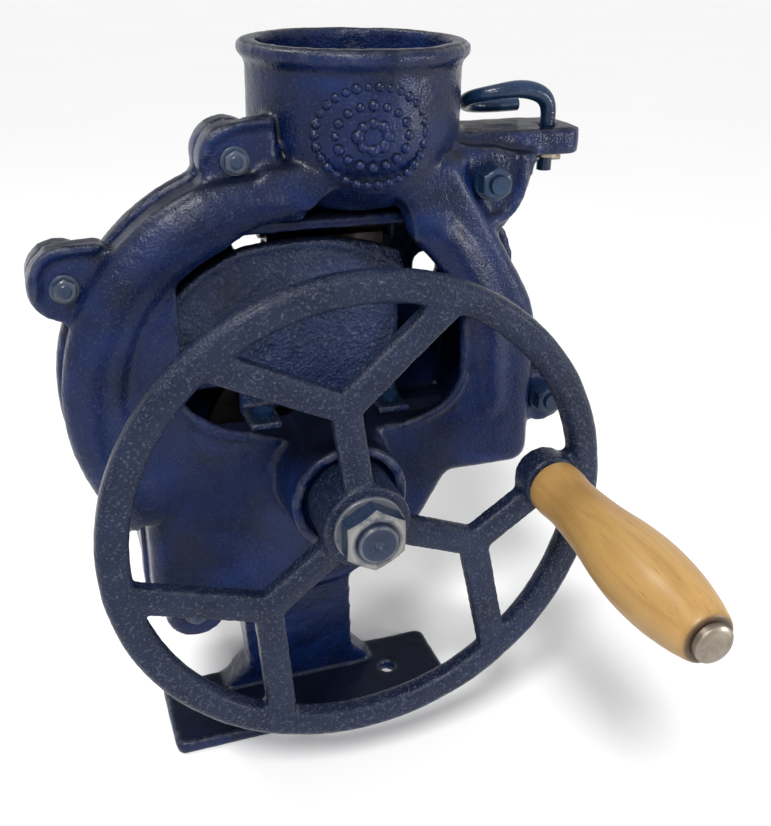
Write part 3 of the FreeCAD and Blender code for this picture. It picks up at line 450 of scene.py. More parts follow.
@dataclass(frozen=True)
class Palette:
    """All finishes of the machine, made once."""

    casting: bpy.types.Material
    shield: bpy.types.Material
    wheel: bpy.types.Material
    fastener: bpy.types.Material
    steel: bpy.types.Material
    iron: bpy.types.Material
    dark_steel: bpy.types.Material
    bronze: bpy.types.Material
    wood: bpy.types.Material

    @classmethod
    def mixed(cls) -> "Palette":
        """Make every finish.

        Returns:
            The palette.
        """
        wheel = Enamel("wheel_enamel", deep=(0.0044, 0.0085, 0.026), bright=(0.0088, 0.0155, 0.042),
                       grit_and_glint=(0.105, 0.125, 0.165), grit_and_glint_share=0.55, dust_and_sheen_share=0.15, sand=860.0,
                       sand_depth=0.0006, dent=210.0, dent_depth=0.0004, smooth=0.20, rough=0.36, shine=0.18)
        shield = Enamel("shield_enamel", deep=(0.0068, 0.0150, 0.050), bright=(0.015, 0.031, 0.095),
                        grit_and_glint=(0.100, 0.120, 0.170), grit_and_glint_share=0.60, sand=640.0, sand_depth=0.0009,
                        dent_depth=0.0010, shine=0.30)
        fastener = Enamel("fastener_enamel", deep=(0.003, 0.011, 0.036), bright=(0.007, 0.027, 0.068),
                          wear_share=1.0, patch=(0.22, 0.50), sand_depth=0.00012, dent_depth=0.00030,
                          dust_and_sheen_share=0.1, shine=0.30)
        return cls(
            casting=Enamel("casting_enamel").make(),
            shield=shield.make(),
            wheel=wheel.make(),
            fastener=fastener.make(),
            steel=Metal("bare_steel", (0.30, 0.26, 0.21), (0.16, 0.135, 0.11)).make(),
            iron=Metal("inner_iron", (0.085, 0.080, 0.078), (0.040, 0.038, 0.037)).make(),
            dark_steel=Metal("spring_steel", (0.22, 0.23, 0.26), (0.10, 0.10, 0.12)).make(),
            bronze=Metal("bush_bronze", (0.62, 0.42, 0.20), (0.36, 0.22, 0.10)).make(),
            wood=Wood("grip_wood").make(),
        )


# Shapes


def arc(centre: Corner, radius: float, start: float, end: float, y: float, count: int) -> list[Vector]:
    """Return points on an arc that faces the front.

    Args:
        centre: The arc's centre across and up, in millimetres from the shaft.
        radius: The arc's radius in millimetres.
        start: Where it starts, in degrees from the right.
        end: Where it ends, in degrees.
        y: How far behind the parting plane it lies, in millimetres.
        count: Number of points.

    Returns:
        The points in metres.
    """
    turns = [math.radians(start + (end - start) * step / (count - 1)) for step in range(count)]
    x, z = centre
    return [place(x + radius * math.cos(turn), y, z + radius * math.sin(turn)) for turn in turns]


def smooth_path(points: Sequence[Vector], steps: int = 8) -> list[Vector]:
    """Return a smooth path through a few points.

    Args:
        points: The points to pass through.
        steps: Number of steps between two of them.

    Returns:
        The points of the path.
    """
    ends = [points[0] * 2 - points[1], *points, points[-1] * 2 - points[-2]]
    path = []
    for before, start, end, after in zip(ends, ends[1:], ends[2:], ends[3:]):
        for step in range(steps):
            t = step / steps
            pull = (end - before) * t + (before * 2 - start * 5 + end * 4 - after) * t ** 2
            path.append(start + (pull + (start * 3 - before - end * 3 + after) * t ** 3) / 2)
    return [*path, points[-1]]


class Form:
    """Closed surfaces that are collected and then melted into one cast skin."""

    band_sides = 20
    taper_start = 0.75

    def __init__(self) -> None:
        """Start with no surfaces."""
        self.bm = bmesh.new()

    def solid(self, node: str) -> "Form":
        """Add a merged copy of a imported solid.

        Args:
            node: The node to copy.

        Returns:
            This form.
        """
        known = len(self.bm.verts)
        self.bm.from_mesh(frame["nodes"][node].data)
        self.bm.verts.ensure_lookup_table()
        bmesh.ops.remove_doubles(self.bm, verts=self.bm.verts[known:], dist=MERGE)
        return self

    def plate(self, corners: Sequence[Corner], front: float, back: float) -> "Form":
        """Add a flat plate that faces the front.

        Args:
            corners: Its outline across and up, in millimetres from the shaft.
            front: Its front face behind the parting plane, in millimetres.
            back: Its back face.

        Returns:
            This form.
        """
        rings = [[self.bm.verts.new(place(x, y, z)) for x, z in corners] for y in (front, back)]
        self.bm.faces.new(rings[0])
        self.bm.faces.new(rings[1][::-1])
        self.join(rings[0], rings[1])
        return self

    def join(self, first: list[bmesh.types.BMVert], second: list[bmesh.types.BMVert]) -> None:
        """Bridge two rings of the same length.

        Args:
            first: One ring.
            second: The other ring.
        """
        count = len(first)
        for index in range(count):
            after = (index + 1) % count
            self.bm.faces.new((first[index], second[index], second[after], first[after]))

    def band(self, path: Sequence[Vector], half_width: float, half_depth: float,
             tail: float = 1.0) -> "Form":
        """Add a rounded band along a path.

        Args:
            path: The band's middle line, in metres.
            half_width: Half its width in the plane that faces the front, in millimetres.
            half_depth: Half its depth from front to back, in millimetres.
            tail: How much of its width is left at the path's end.

        Returns:
            This form.
        """
        rings, last = [], len(path) - 1
        turns = [2 * math.pi * step / self.band_sides for step in range(self.band_sides)]
        for index, point in enumerate(path):
            run = path[min(index + 1, last)] - path[max(index - 1, 0)]
            late = max(0.0, index / last - self.taper_start) / (1.0 - self.taper_start)
            left = 1.0 - (1.0 - tail) * late
            side = run.cross(ACROSS).normalized() * half_width * left * MM
            deep = ACROSS * half_depth * left * MM
            spots = [point + side * math.cos(turn) + deep * math.sin(turn) for turn in turns]
            rings.append([self.bm.verts.new(spot) for spot in spots])
        for first, second in zip(rings, rings[1:]):
            self.join(first, second)
        self.bm.faces.new(rings[0])
        self.bm.faces.new(rings[-1][::-1])
        return self

    def finished(self, name: str) -> bpy.types.Object:
        """Return the collected surfaces as one object.

        Args:
            name: The object's name.

        Returns:
            The new object, linked to the scene.
        """
        bmesh.ops.recalc_face_normals(self.bm, faces=self.bm.faces)
        mesh = bpy.data.meshes.new(name)
        self.bm.to_mesh(mesh)
        self.bm.free()
        return linked(name, mesh)


def linked(name: str, data: bpy.types.ID) -> bpy.types.Object:
    """Return a new object in the scene.

    Args:
        name: The object's name.
        data: Its mesh, curve, lamp or camera.

    Returns:
        The object.
    """
    item = bpy.data.objects.new(name, data)
    bpy.context.scene.collection.objects.link(item)
    return item


def evaluated(item: bpy.types.Object) -> bpy.types.Mesh:
    """Return a plain mesh of an object with its modifiers worked in.

    Args:
        item: The object.

    Returns:
        The new mesh.
    """
    bpy.context.view_layer.update()
    graph = bpy.context.evaluated_depsgraph_get()
    return bpy.data.meshes.new_from_object(item.evaluated_get(graph))


def melt(item: bpy.types.Object, voxel: float, passes: int) -> None:
    """Melt an object's surfaces into one soft skin.

    Args:
        item: The object, which keeps no modifier.
        voxel: The size of the finest detail that is kept, in millimetres.
        passes: How often the skin is smoothed.
    """
    remesh = item.modifiers.new("melt", "REMESH")
    remesh.mode = "VOXEL"
    remesh.voxel_size = voxel * MM
    remesh.use_smooth_shade = True
    ease = item.modifiers.new("ease", "SMOOTH")
    ease.factor = 0.5
    ease.iterations = passes
    mesh = evaluated(item)
    item.modifiers.clear()
    item.data = mesh


def read(mesh: bpy.types.Mesh, name: str) -> np.ndarray:
    """Return the places or normals of a mesh's points.

    Args:
        mesh: The mesh.
        name: Either co or normal.

    Returns:
        One row for each point.
    """
    values = np.empty(len(mesh.vertices) * 3)
    mesh.vertices.foreach_get(name, values)
    return values.reshape(-1, 3)


def store(mesh: bpy.types.Mesh, name: str, values: np.ndarray) -> None:
    """Store one number for each point of a mesh.

    Args:
        mesh: The mesh.
        name: The attribute's name.
        values: The numbers.
    """
    layer = mesh.attributes.get(name) or mesh.attributes.new(name, "FLOAT", "POINT")
    layer.data.foreach_set("value", values.astype(np.float32))


def proudness(mesh: bpy.types.Mesh) -> np.ndarray:
    """Return how far each point stands out from its neighbours.

    Args:
        mesh: The mesh.

    Returns:
        A number for each point, above 0 on an edge, 0 on a flat and below 0 where the surface is concave.
    """
    places, normals = read(mesh, "co"), read(mesh, "normal")
    edges = np.empty(len(mesh.edges) * 2, dtype=np.int64)
    mesh.edges.foreach_get("vertices", edges)
    first, second = edges.reshape(-1, 2).T
    total, count = np.zeros_like(places), np.zeros(len(places))
    lengths = np.linalg.norm(places[first] - places[second], axis=1).mean()
    for near, far in ((first, second), (second, first)):
        np.add.at(total, near, places[far])
        np.add.at(count, near, 1)
    offset = places - total / np.maximum(count, 1)[:, None]
    return (offset * normals).sum(axis=1) / lengths


def ramp(values: np.ndarray, start: float, rise: float, top: float = 1.0) -> np.ndarray:
    """Return values stretched so that they climb from 0.

    Args:
        values: The values.
        start: Where the climb starts.
        rise: How much of the values' range takes the result from 0 to 1.
        top: Where the climb stops.

    Returns:
        The stretched values.
    """
    return np.clip((values - start) / rise, 0, top)


def mark_upward(mesh: bpy.types.Mesh) -> None:
    """Store how far each point of a mesh faces up, where dust and a painted dull sheen lie."""
    store(mesh, "upward", ramp(read(mesh, "normal")[:, 2], LEVEL_START, LEVEL_RISE))


@dataclass(frozen=True)
class Skin:
    """How finely a casting is melted together and how rough its sand mould left it."""

    voxel: float = 1.8
    passes: int = 4
    swell: float = 0.30
    grain: float = 0.16
    swell_scale: float = 55.0
    grain_scale: float = 230.0
    edge: Corner = (0.05, 0.12)
    # where the painted shade in concave creases starts and how fast it rises, and its cap
    crease_shade: Corner = (0.03, 0.10)
    deepest: float = 0.8

    def lay(self, form: Form, name: str) -> bpy.types.Object:
        """Return a cast piece made from a form.

        Args:
            form: The closed surfaces that it is made of.
            name: The piece's name.

        Returns:
            The piece, with its worn edges, its painted crease shade and its upward faces stored on its
            points.
        """
        item = form.finished(name)
        melt(item, self.voxel, self.passes)
        mesh = item.data
        proud = proudness(mesh)
        store(mesh, "wear_and_shade", ramp(proud, *self.edge))
        # painted shade: concave points get a mask that darkens them in the enamel
        store(mesh, "hollow_shade", ramp(-proud, *self.crease_shade, self.deepest))
        mark_upward(mesh)
        places, normals = read(mesh, "co"), read(mesh, "normal")
        swell = np.zeros(len(places))
        for scale, height in ((self.swell_scale, self.swell), (self.grain_scale, self.grain)):
            swell += np.array([noise.noise(Vector(point) * scale) for point in places]) * height * MM
        mesh.vertices.foreach_set("co", (places + normals * swell[:, None]).ravel())
        mesh.update()
        return item


Ring = tuple[Callable[[float], float], Callable[[float], float], float]


class Turned:
    """Pieces made of rings about axes along Y, collected into one mesh."""

    sides = 96

    def __init__(self) -> None:
        """Start with no rings."""
        self.form = Form()
        self.wear_and_shade: list[float] = []

    def lathe(self, axis: Vector, profile: Sequence[Point]) -> "Turned":
        """Add a piece turned about an axis.

        Args:
            axis: A point on the axis, in metres.
            profile: Radius and place along Y, in millimetres, and the mark of metal wear and of painted shade
                on the grip, for each ring.

        Returns:
            This collection.
        """
        rings = [(lambda turn, r=radius: r, lambda turn, at=y: at, wear_and_shade) for radius, y, wear_and_shade in profile]
        return self.add(axis, rings)

    def add(self, axis: Vector, rings: Sequence[Ring]) -> "Turned":
        """Add a piece made of rings.

        Args:
            axis: A point on the axis, in metres.
            rings: Each ring's radius and place along Y, both by angle and in millimetres, and its mark of
                wear and painted shade.

        Returns:
            This collection.
        """
        made = []
        for radius, along, rubbed in rings:
            ring = []
            for step in range(self.sides):
                turn = 2 * math.pi * step / self.sides
                reach = radius(turn) * MM
                x, z = axis.x + reach * math.cos(turn), axis.z + reach * math.sin(turn)
                ring.append(self.form.bm.verts.new((x, along(turn) * MM, z)))
                self.wear_and_shade.append(rubbed)
            made.append(ring)
        for first, second in zip(made, made[1:]):
            self.form.join(first, second)
        self.form.bm.faces.new(made[0])
        self.form.bm.faces.new(made[-1][::-1])
        return self

    def finished(self, name: str) -> bpy.types.Object:
        """Return the collected pieces as one object.

        Args:
            name: The object's name.

        Returns:
            The object, with its marks of wear and painted shade stored on its points.
        """
        item = self.form.finished(name)
        for face in item.data.polygons:
            face.use_smooth = True
        store(item.data, "wear_and_shade", np.array(self.wear_and_shade))
        store(item.data, "upward", np.zeros(len(self.wear_and_shade)))
        item.data.set_sharp_from_angle(angle=SHARP)
        return item


@dataclass(frozen=True)
class Hexagon:
    """A nut or a bolt head with its corners chamfered by turning."""

    flats: float
    thick: float
    bore: float = 0.0
    crown: float = 0.0
    rub: float = 1.0
    face_share: float = 0.91
    edge: float = 0.7
    lift: float = 0.15
    slope: float = 0.5

    def reach(self, turn: float) -> float:
        """Return the hexagon's radius at an angle.

        Args:
            turn: The angle in radians.

        Returns:
            The radius in millimetres.
        """
        sector = math.pi / 3
        return self.flats / 2 / math.cos((turn + sector / 2) % sector - sector / 2)

    def corner(self, turn: float, top: float) -> float:
        """Return where the chamfer meets the side at an angle.

        Args:
            turn: The angle in radians.
            top: Where the front face lies along Y, in millimetres.

        Returns:
            The place along Y, in millimetres.
        """
        return top + self.lift + (self.reach(turn) - self.flats / 2 * self.face_share) * self.slope

    def rings(self, seat: float) -> list[Ring]:
        """Return the rings of a piece that stands forward from its seat.

        Args:
            seat: Where its seat lies along Y, in millimetres.

        Returns:
            The rings from the seat to the front.
        """
        top, face, edge = seat - self.thick, self.flats / 2 * self.face_share, self.edge
        rings: list[Ring] = [
            (self.reach, lambda turn: seat, 0.02 * self.rub),
            (self.reach, lambda turn: self.corner(turn, top) + edge, 0.05 * self.rub),
            (self.reach, lambda turn: self.corner(turn, top), 0.6 * self.rub),
            (lambda turn: face, lambda turn: top, self.rub),
            (lambda turn: face - 2 * edge, lambda turn: top, 0.4 * self.rub),
        ]
        if self.bore:
            rings += [(lambda turn: self.bore / 2 + edge, lambda turn: top, 0.08 * self.rub),
                      (lambda turn: self.bore / 2, lambda turn: top + edge / 2, 0.3 * self.rub),
                      (lambda turn: self.bore / 2, lambda turn: top + 2 * edge, 0.0)]
        else:
            rings += [(lambda turn: face * 0.55, lambda turn: top - self.crown * 0.7, 0.15 * self.rub),
                      (lambda turn: 0.05, lambda turn: top - self.crown, 0.15 * self.rub)]
        return rings


# Sub-assemblies


@dataclass
class Piece:
    """A finished piece on its way into the frame."""

    item: bpy.types.Object
    body: Body
    slot: Slot
    material: bpy.types.Material
    stands_for: tuple[str, ...] = ()

    def join(self) -> None:
        """Give the piece its material and its body."""
        self.item.data.materials.clear()
        self.item.data.materials.append(self.material)
        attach(self.item, self.body.value)
        log.info("%s rides on %s", self.item.name, self.body.value)
        if self.stands_for:
            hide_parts(*self.stands_for)


def coat(nodes: Sequence[str], material: bpy.types.Material) -> None:
    """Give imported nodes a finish.

    Args:
        nodes: The nodes' names.
        material: The finish.
    """
    for name in nodes:
        mesh = frame["nodes"][name].data
        mesh.materials.clear()
        mesh.materials.append(material)
        log.info("%s is finished in %s", name, material.name)


class PathNodes:
    """A node group that makes a piece along a path, with a named input for each of its sizes."""

    def __init__(self, name: str, sizes: dict[str, str]) -> None:
        """Make the group, from its inputs to its output.

        Args:
            name: The group's name.
            sizes: The name and kind of each input between the path and the finish.
        """
        self.group = bpy.data.node_groups.new(name, "GeometryNodeTree")
        self.sockets: dict[str, str] = {}
        kinds = {"Path": "NodeSocketGeometry", **sizes, "Finish": "NodeSocketMaterial"}
        for label, kind in kinds.items():
            socket = self.group.interface.new_socket(label, in_out="INPUT", socket_type=kind)
            self.sockets[label] = socket.identifier
        self.group.interface.new_socket("Piece", in_out="OUTPUT", socket_type="NodeSocketGeometry")
        self.inputs = self.group.nodes.new("NodeGroupInput").outputs
        self.close(self.wire())

    def wire(self) -> bpy.types.NodeSocket:
        """Return the socket that gives the group's geometry."""
        raise NotImplementedError

    def close(self, made: bpy.types.NodeSocket) -> None:
        """Make the geometry real, smooth and painted at the group's end.

        Args:
            made: The socket that gives the geometry.
        """
        nodes, links = self.group.nodes, self.group.links
        real = nodes.new("GeometryNodeRealizeInstances")
        soft = nodes.new("GeometryNodeSetShadeSmooth")
        paint = nodes.new("GeometryNodeSetMaterial")
        end = nodes.new("NodeGroupOutput")
        links.new(made, real.inputs["Geometry"])
        links.new(real.outputs["Geometry"], soft.inputs["Geometry"])
        links.new(soft.outputs[0], paint.inputs["Geometry"])
        links.new(self.inputs["Finish"], paint.inputs["Material"])
        links.new(paint.outputs["Geometry"], end.inputs["Piece"])

    def run(self, name: str, curve: bpy.types.Curve, values: dict[str, object]) -> bpy.types.Object:
        """Return what the group makes along a curve, as a plain mesh.

        Args:
            name: The piece's name.
            curve: The path.
            values: The value of each input.

        Returns:
            The piece, with no worn edges, no dust and no painted sheen on it.
        """
        guide = linked(curve.name, curve)
        maker = guide.modifiers.new(self.group.name, "NODES")
        maker.node_group = self.group
        for label, value in values.items():
            maker[self.sockets[label]] = value
        mesh = evaluated(guide)
        bpy.data.objects.remove(guide)
        for layer in ("wear_and_shade", "upward"):
            store(mesh, layer, np.zeros(len(mesh.vertices)))
        return linked(name, mesh)


class BeadRing(PathNodes):
    """A ring of raised beads that follows a path on the hopper's side."""

    segments, rings = 20, 12
    smallest, largest = 0.85, 1.10
    seed = 7
    # Places of the number sockets on a Random Value node
    low_number, high_number, drawn_number = 2, 3, 1

    def __init__(self) -> None:
        """Make the group with the beads' count and radius and a seed as inputs."""
        sizes = {"Count": "NodeSocketInt", "Radius": "NodeSocketFloat", "Seed": "NodeSocketInt"}
        super().__init__("bead_ring", sizes)

    def wire(self) -> bpy.types.NodeSocket:
        """Spread points on the path and set a bead on each.

        Returns:
            The socket that gives the beads.
        """
        nodes, links = self.group.nodes, self.group.links
        points = nodes.new("GeometryNodeCurveToPoints")
        bead = nodes.new("GeometryNodeMeshUVSphere")
        spread = nodes.new("FunctionNodeRandomValue")
        copies = nodes.new("GeometryNodeInstanceOnPoints")
        bead.inputs["Segments"].default_value = self.segments
        bead.inputs["Rings"].default_value = self.rings
        spread.inputs[self.low_number].default_value = self.smallest
        spread.inputs[self.high_number].default_value = self.largest
        links.new(self.inputs["Path"], points.inputs["Curve"])
        links.new(self.inputs["Count"], points.inputs["Count"])
        links.new(self.inputs["Radius"], bead.inputs["Radius"])
        links.new(self.inputs["Seed"], spread.inputs["Seed"])
        links.new(points.outputs["Points"], copies.inputs["Points"])
        links.new(bead.outputs["Mesh"], copies.inputs["Instance"])
        links.new(spread.outputs[self.drawn_number], copies.inputs["Scale"])
        return copies.outputs["Instances"]

    def lay(self, name: str, path: Sequence[Vector], count: int, radius: float,
            finish: bpy.types.Material) -> bpy.types.Object:
        """Return beads along a closed path.

        Args:
            name: The piece's name.
            path: The path's points, in metres.
            count: Number of beads.
            radius: A bead's radius in metres.
            finish: The beads' material.

        Returns:
            The beads as one mesh.
        """
        curve = bpy.data.curves.new(name + "_path", "CURVE")
        curve.dimensions = "3D"
        line = curve.splines.new("POLY")
        line.points.add(len(path) - 1)
        line.use_cyclic_u = True
        for point, spot in zip(line.points, path):
            point.co = (*spot, 1.0)
        values = {"Count": count, "Radius": radius, "Seed": self.seed, "Finish": finish}
        return self.run(name, curve, values)


class RodSweep(PathNodes):
    """A round rod that follows a path, thicker or thinner as the path's points say."""

    profile_points = 28
    steps = 10
    order = 4

    def __init__(self) -> None:
        """Make the group with the plain rod's radius as its input."""
        super().__init__("rod_sweep", {"Radius": "NodeSocketFloat"})

    def wire(self) -> bpy.types.NodeSocket:
        """Sweep a round profile along the path.

        Returns:
            The socket that gives the rod.
        """
        nodes, links = self.group.nodes, self.group.links
        profile = nodes.new("GeometryNodeCurvePrimitiveCircle")
        profile.inputs["Resolution"].default_value = self.profile_points
        sweep = nodes.new("GeometryNodeCurveToMesh")
        sweep.inputs["Fill Caps"].default_value = True
        thick = nodes.new("GeometryNodeInputRadius")
        links.new(self.inputs["Path"], sweep.inputs["Curve"])
        links.new(self.inputs["Radius"], profile.inputs["Radius"])
        links.new(profile.outputs["Curve"], sweep.inputs["Profile Curve"])
        links.new(thick.outputs["Radius"], sweep.inputs["Scale"])
        return sweep.outputs["Mesh"]

    def lay(self, name: str, route: Sequence[Vector], swell: Sequence[float], radius: float,
            finish: bpy.types.Material) -> bpy.types.Object:
        """Return a rod along a smooth route.

        Args:
            name: The piece's name.
            route: The points that the rod passes near, in metres.
            swell: How thick the rod is at each point, where 1 is the plain rod.
            radius: The plain rod's radius in metres.
            finish: The rod's material.

        Returns:
            The rod as one mesh.
        """
        curve = bpy.data.curves.new(name + "_path", "CURVE")
        curve.dimensions = "3D"
        curve.resolution_u = self.steps
        line = curve.splines.new("NURBS")
        line.points.add(len(route) - 1)
        line.order_u = self.order
        line.use_endpoint_u = True
        for point, spot, thick in zip(line.points, route, swell):
            point.co = (*spot, 1.0)
            point.radius = thick
        return self.run(name, curve, {"Radius": radius, "Finish": finish})


@dataclass
class FrontCasting:
    """The arched front casting with its hopper, ledge, pedestal and foot."""

    palette: Palette
    skin: Skin = field(default_factory=Skin)
    arch_centre: Corner = (-18.0, 46.0)
    arch_radius: float = 85.8
    window_centre: Corner = (-10.0, 47.0)
    window_radius: float = 91.0
    lug_front: float = -14.0
    bail_hole: float = 4.1
    ornament_height: float = 158.0
    ornament_turn: float = -8.0
    oval_points: int = 48
    bead_proud: float = -0.7
    bead_voxel: float = 0.5
    bead_passes: int = 2

    def arch(self, form: Form) -> None:
        """Add the half-round bands on both sides of the arch.

        Args:
            form: The form to add to.
        """
        left = [place(-84, -13, -12), place(-95, -15, 8), place(-102, -16, 28),
                *arc(self.arch_centre, self.arch_radius, 180, 98, -16.0, 12),
                place(-18, -15.5, 130), place(-8, -13, 126.5)]
        form.band(smooth_path(left, 4), 14.8, 9.5, 0.45)
        right = [place(84, -13, 20), *arc(self.window_centre, self.window_radius, 4, 50, -14.5, 8),
                 place(44, -13.5, 124), place(39, -10, 134)]
        form.band(smooth_path(right, 4), 12.0, 9.0, 0.6)

    def ears(self, form: Form) -> None:
        """Add the webs and raised rims round the bolting ears.

        Args:
            form: The form to add to.
        """
        form.plate([(-44, 160), (-34, 163), (-21, 164), (-19, 137), (-34, 130)], self.lug_front, 0.0)
        crest = [place(-52, -14, 150), place(-47, -14, 158), place(-36, -14, 162.5), place(-21, -14, 164)]
        form.band(smooth_path(crest), 1.5, 2.4)
        form.plate([(-125, 106), (-117, 116), (-96, 118), (-84, 106), (-98, 84), (-123, 90)],
                   self.lug_front, 0.0)
        rim = [place(-124, -15, 97), place(-122, -15, 110), place(-114, -15, 116), place(-96, -15, 117)]
        form.band(smooth_path(rim), 1.7, 2.8)
        x, z = Lug.HOPPER_RIGHT.value
        pocket = [place(x - 15, -15, z + 12), place(x - 16, -15, z - 10), place(x - 9, -15, z - 17),
                  place(x + 7, -15, z - 17), place(x + 15, -15, z - 6), place(x + 16, -15, z + 12)]
        form.band(smooth_path(pocket), 2.2, 2.8)

    def bracket(self, form: Form) -> None:
        """Add the curved web under the ledge.

        Args:
            form: The form to add to.
        """
        form.plate([(58, 150), (103, 143), (100, 133), (96, 123), (91, 115), (85, 107), (78, 100), (62, 104)],
                   -13.0, 0.0)

    def sill(self, form: Form) -> None:
        """Add the rounded lips in the window's lower corners.

        Args:
            form: The form to add to.
        """
        for corners in ([(-68, 18), (-68, 42), (-62, 36), (-52, 29), (-40, 25), (-26, 20)],
                        [(67, 18), (67, 40), (63, 32), (57, 26), (48, 22), (38, 19)]):
            form.plate(corners, -20.0, -14.0)
            lip = [place(x, -20, z) for x, z in corners[1:]]
            form.band(smooth_path(lip), 2.2, 2.4)

    def free_bail(self, mesh: bpy.types.Mesh) -> None:
        """Open the ledge's hole a little, so that the bail's leg turns freely in it.

        Args:
            mesh: The cast skin.
        """
        axis, reach = joint_place("bail_swing"), self.bail_hole * MM
        places = read(mesh, "co")
        offset = places[:, :2] - np.array(axis[:2])
        distance = np.linalg.norm(offset, axis=1)
        near = (distance < reach) & (distance > MERGE)
        places[near, :2] = np.array(axis[:2]) + offset[near] / distance[near, None] * reach
        mesh.vertices.foreach_set("co", places.ravel())
        mesh.update()

    def oval(self, across: float, up: float) -> list[Vector]:
        """Return an oval path on the hopper's front.

        Args:
            across: Half its width round the hopper, in millimetres.
            up: Half its height in millimetres.

        Returns:
            The path's points.
        """
        reach = HOPPER_RADIUS + self.bead_proud
        path = []
        for step in range(self.oval_points):
            turn = 2 * math.pi * step / self.oval_points
            angle = math.radians(self.ornament_turn) + across * math.cos(turn) / HOPPER_RADIUS
            path.append(place(HOPPER_X + reach * math.sin(angle), HOPPER_Y - reach * math.cos(angle),
                              self.ornament_height + up * math.sin(turn)))
        return path

    def build(self) -> None:
        """Make the casting and the beaded ovals on its hopper."""
        form = Form().solid("front_casting")
        self.arch(form)
        self.ears(form)
        self.bracket(form)
        self.sill(form)
        item = self.skin.lay(form, "front_casting_skin")
        self.free_bail(item.data)
        self.dress(item, ("front_casting",))
        self.ornament()

    def ornament(self) -> None:
        """Make the beaded ovals on the hopper's front, softened as a casting leaves them."""
        ring = BeadRing()
        for name, across, up, count, radius in (("hopper_beads_outer", 25.0, 20.0, 30, 2.2),
                                                ("hopper_beads_middle", 16.0, 12.5, 16, 2.4),
                                                ("hopper_beads_inner", 6.5, 5.5, 8, 2.9)):
            beads = ring.lay(name, self.oval(across, up), count, radius * MM, self.palette.casting)
            melt(beads, self.bead_voxel, self.bead_passes)
            store(beads.data, "wear_and_shade", np.zeros(len(beads.data.vertices)))
            mark_upward(beads.data)
            self.dress(beads)

    def dress(self, item: bpy.types.Object, stands_for: tuple[str, ...] = ()) -> None:
        """Paint a piece of the casting.

        Args:
            item: The piece.
            stands_for: The nodes that it replaces.
        """
        Piece(item, Body.FRAME, Slot.CASTING, self.palette.casting, stands_for).join()


@dataclass
class RearCasing:
    """The rear casting and the shield plate behind the window."""

    palette: Palette
    skin: Skin = field(default_factory=lambda: Skin(voxel=2.1))
    shield_skin: Skin = field(default_factory=lambda: Skin(voxel=1.3, swell=0.5, grain=0.3))
    seam_height: float = 118.2
    seam_inset: float = 1.5
    seam_half: float = 2.6
    seam_angles: range = range(-15, 196, 6)
    shield_front: float = 8.5
    shield_back: float = 13.5
    lip_middle: float = 11.0

    def seam(self) -> list[Vector]:
        """Return the middle line of the bead that closes the seam under the hopper.

        Returns:
            Points round the back of the hopper, in metres.
        """
        reach, points = HOPPER_RADIUS - self.seam_inset, []
        for degrees in self.seam_angles:
            turn = math.radians(degrees)
            x, y = HOPPER_X + reach * math.cos(turn), HOPPER_Y + reach * math.sin(turn)
            points.append(place(x, y, self.seam_height))
        return points

    def build(self) -> None:
        """Make both castings."""
        form = Form().solid("rear_casting")
        form.band(self.seam(), self.seam_half, self.seam_half)
        rear = self.skin.lay(form, "rear_casting_skin")
        self.dress(rear, "rear_casting", self.palette.casting)
        form = Form().solid("shield_plate")
        form.plate([(-69, 62), (-65, 81), (-53, 91), (-39, 99), (-25, 102), (-20, 90), (-55, 62)],
                   self.shield_front, self.shield_back)
        lip = [(-66, 80), (-53, 91), (-39, 99), (-25.5, 102.5), (5, 103.6), (29, 96.8), (45, 88)]
        form.band(smooth_path([place(x, self.lip_middle, z) for x, z in lip]), 2.4, 3.8)
        self.dress(self.shield_skin.lay(form, "shield_plate_skin"), "shield_plate", self.palette.shield)

    def dress(self, item: bpy.types.Object, node: str, finish: bpy.types.Material) -> None:
        """Paint a casting.

        Args:
            item: The piece.
            node: The node that it replaces.
            finish: Its paint.
        """
        Piece(item, Body.FRAME, Slot.CASTING, finish, (node,)).join()


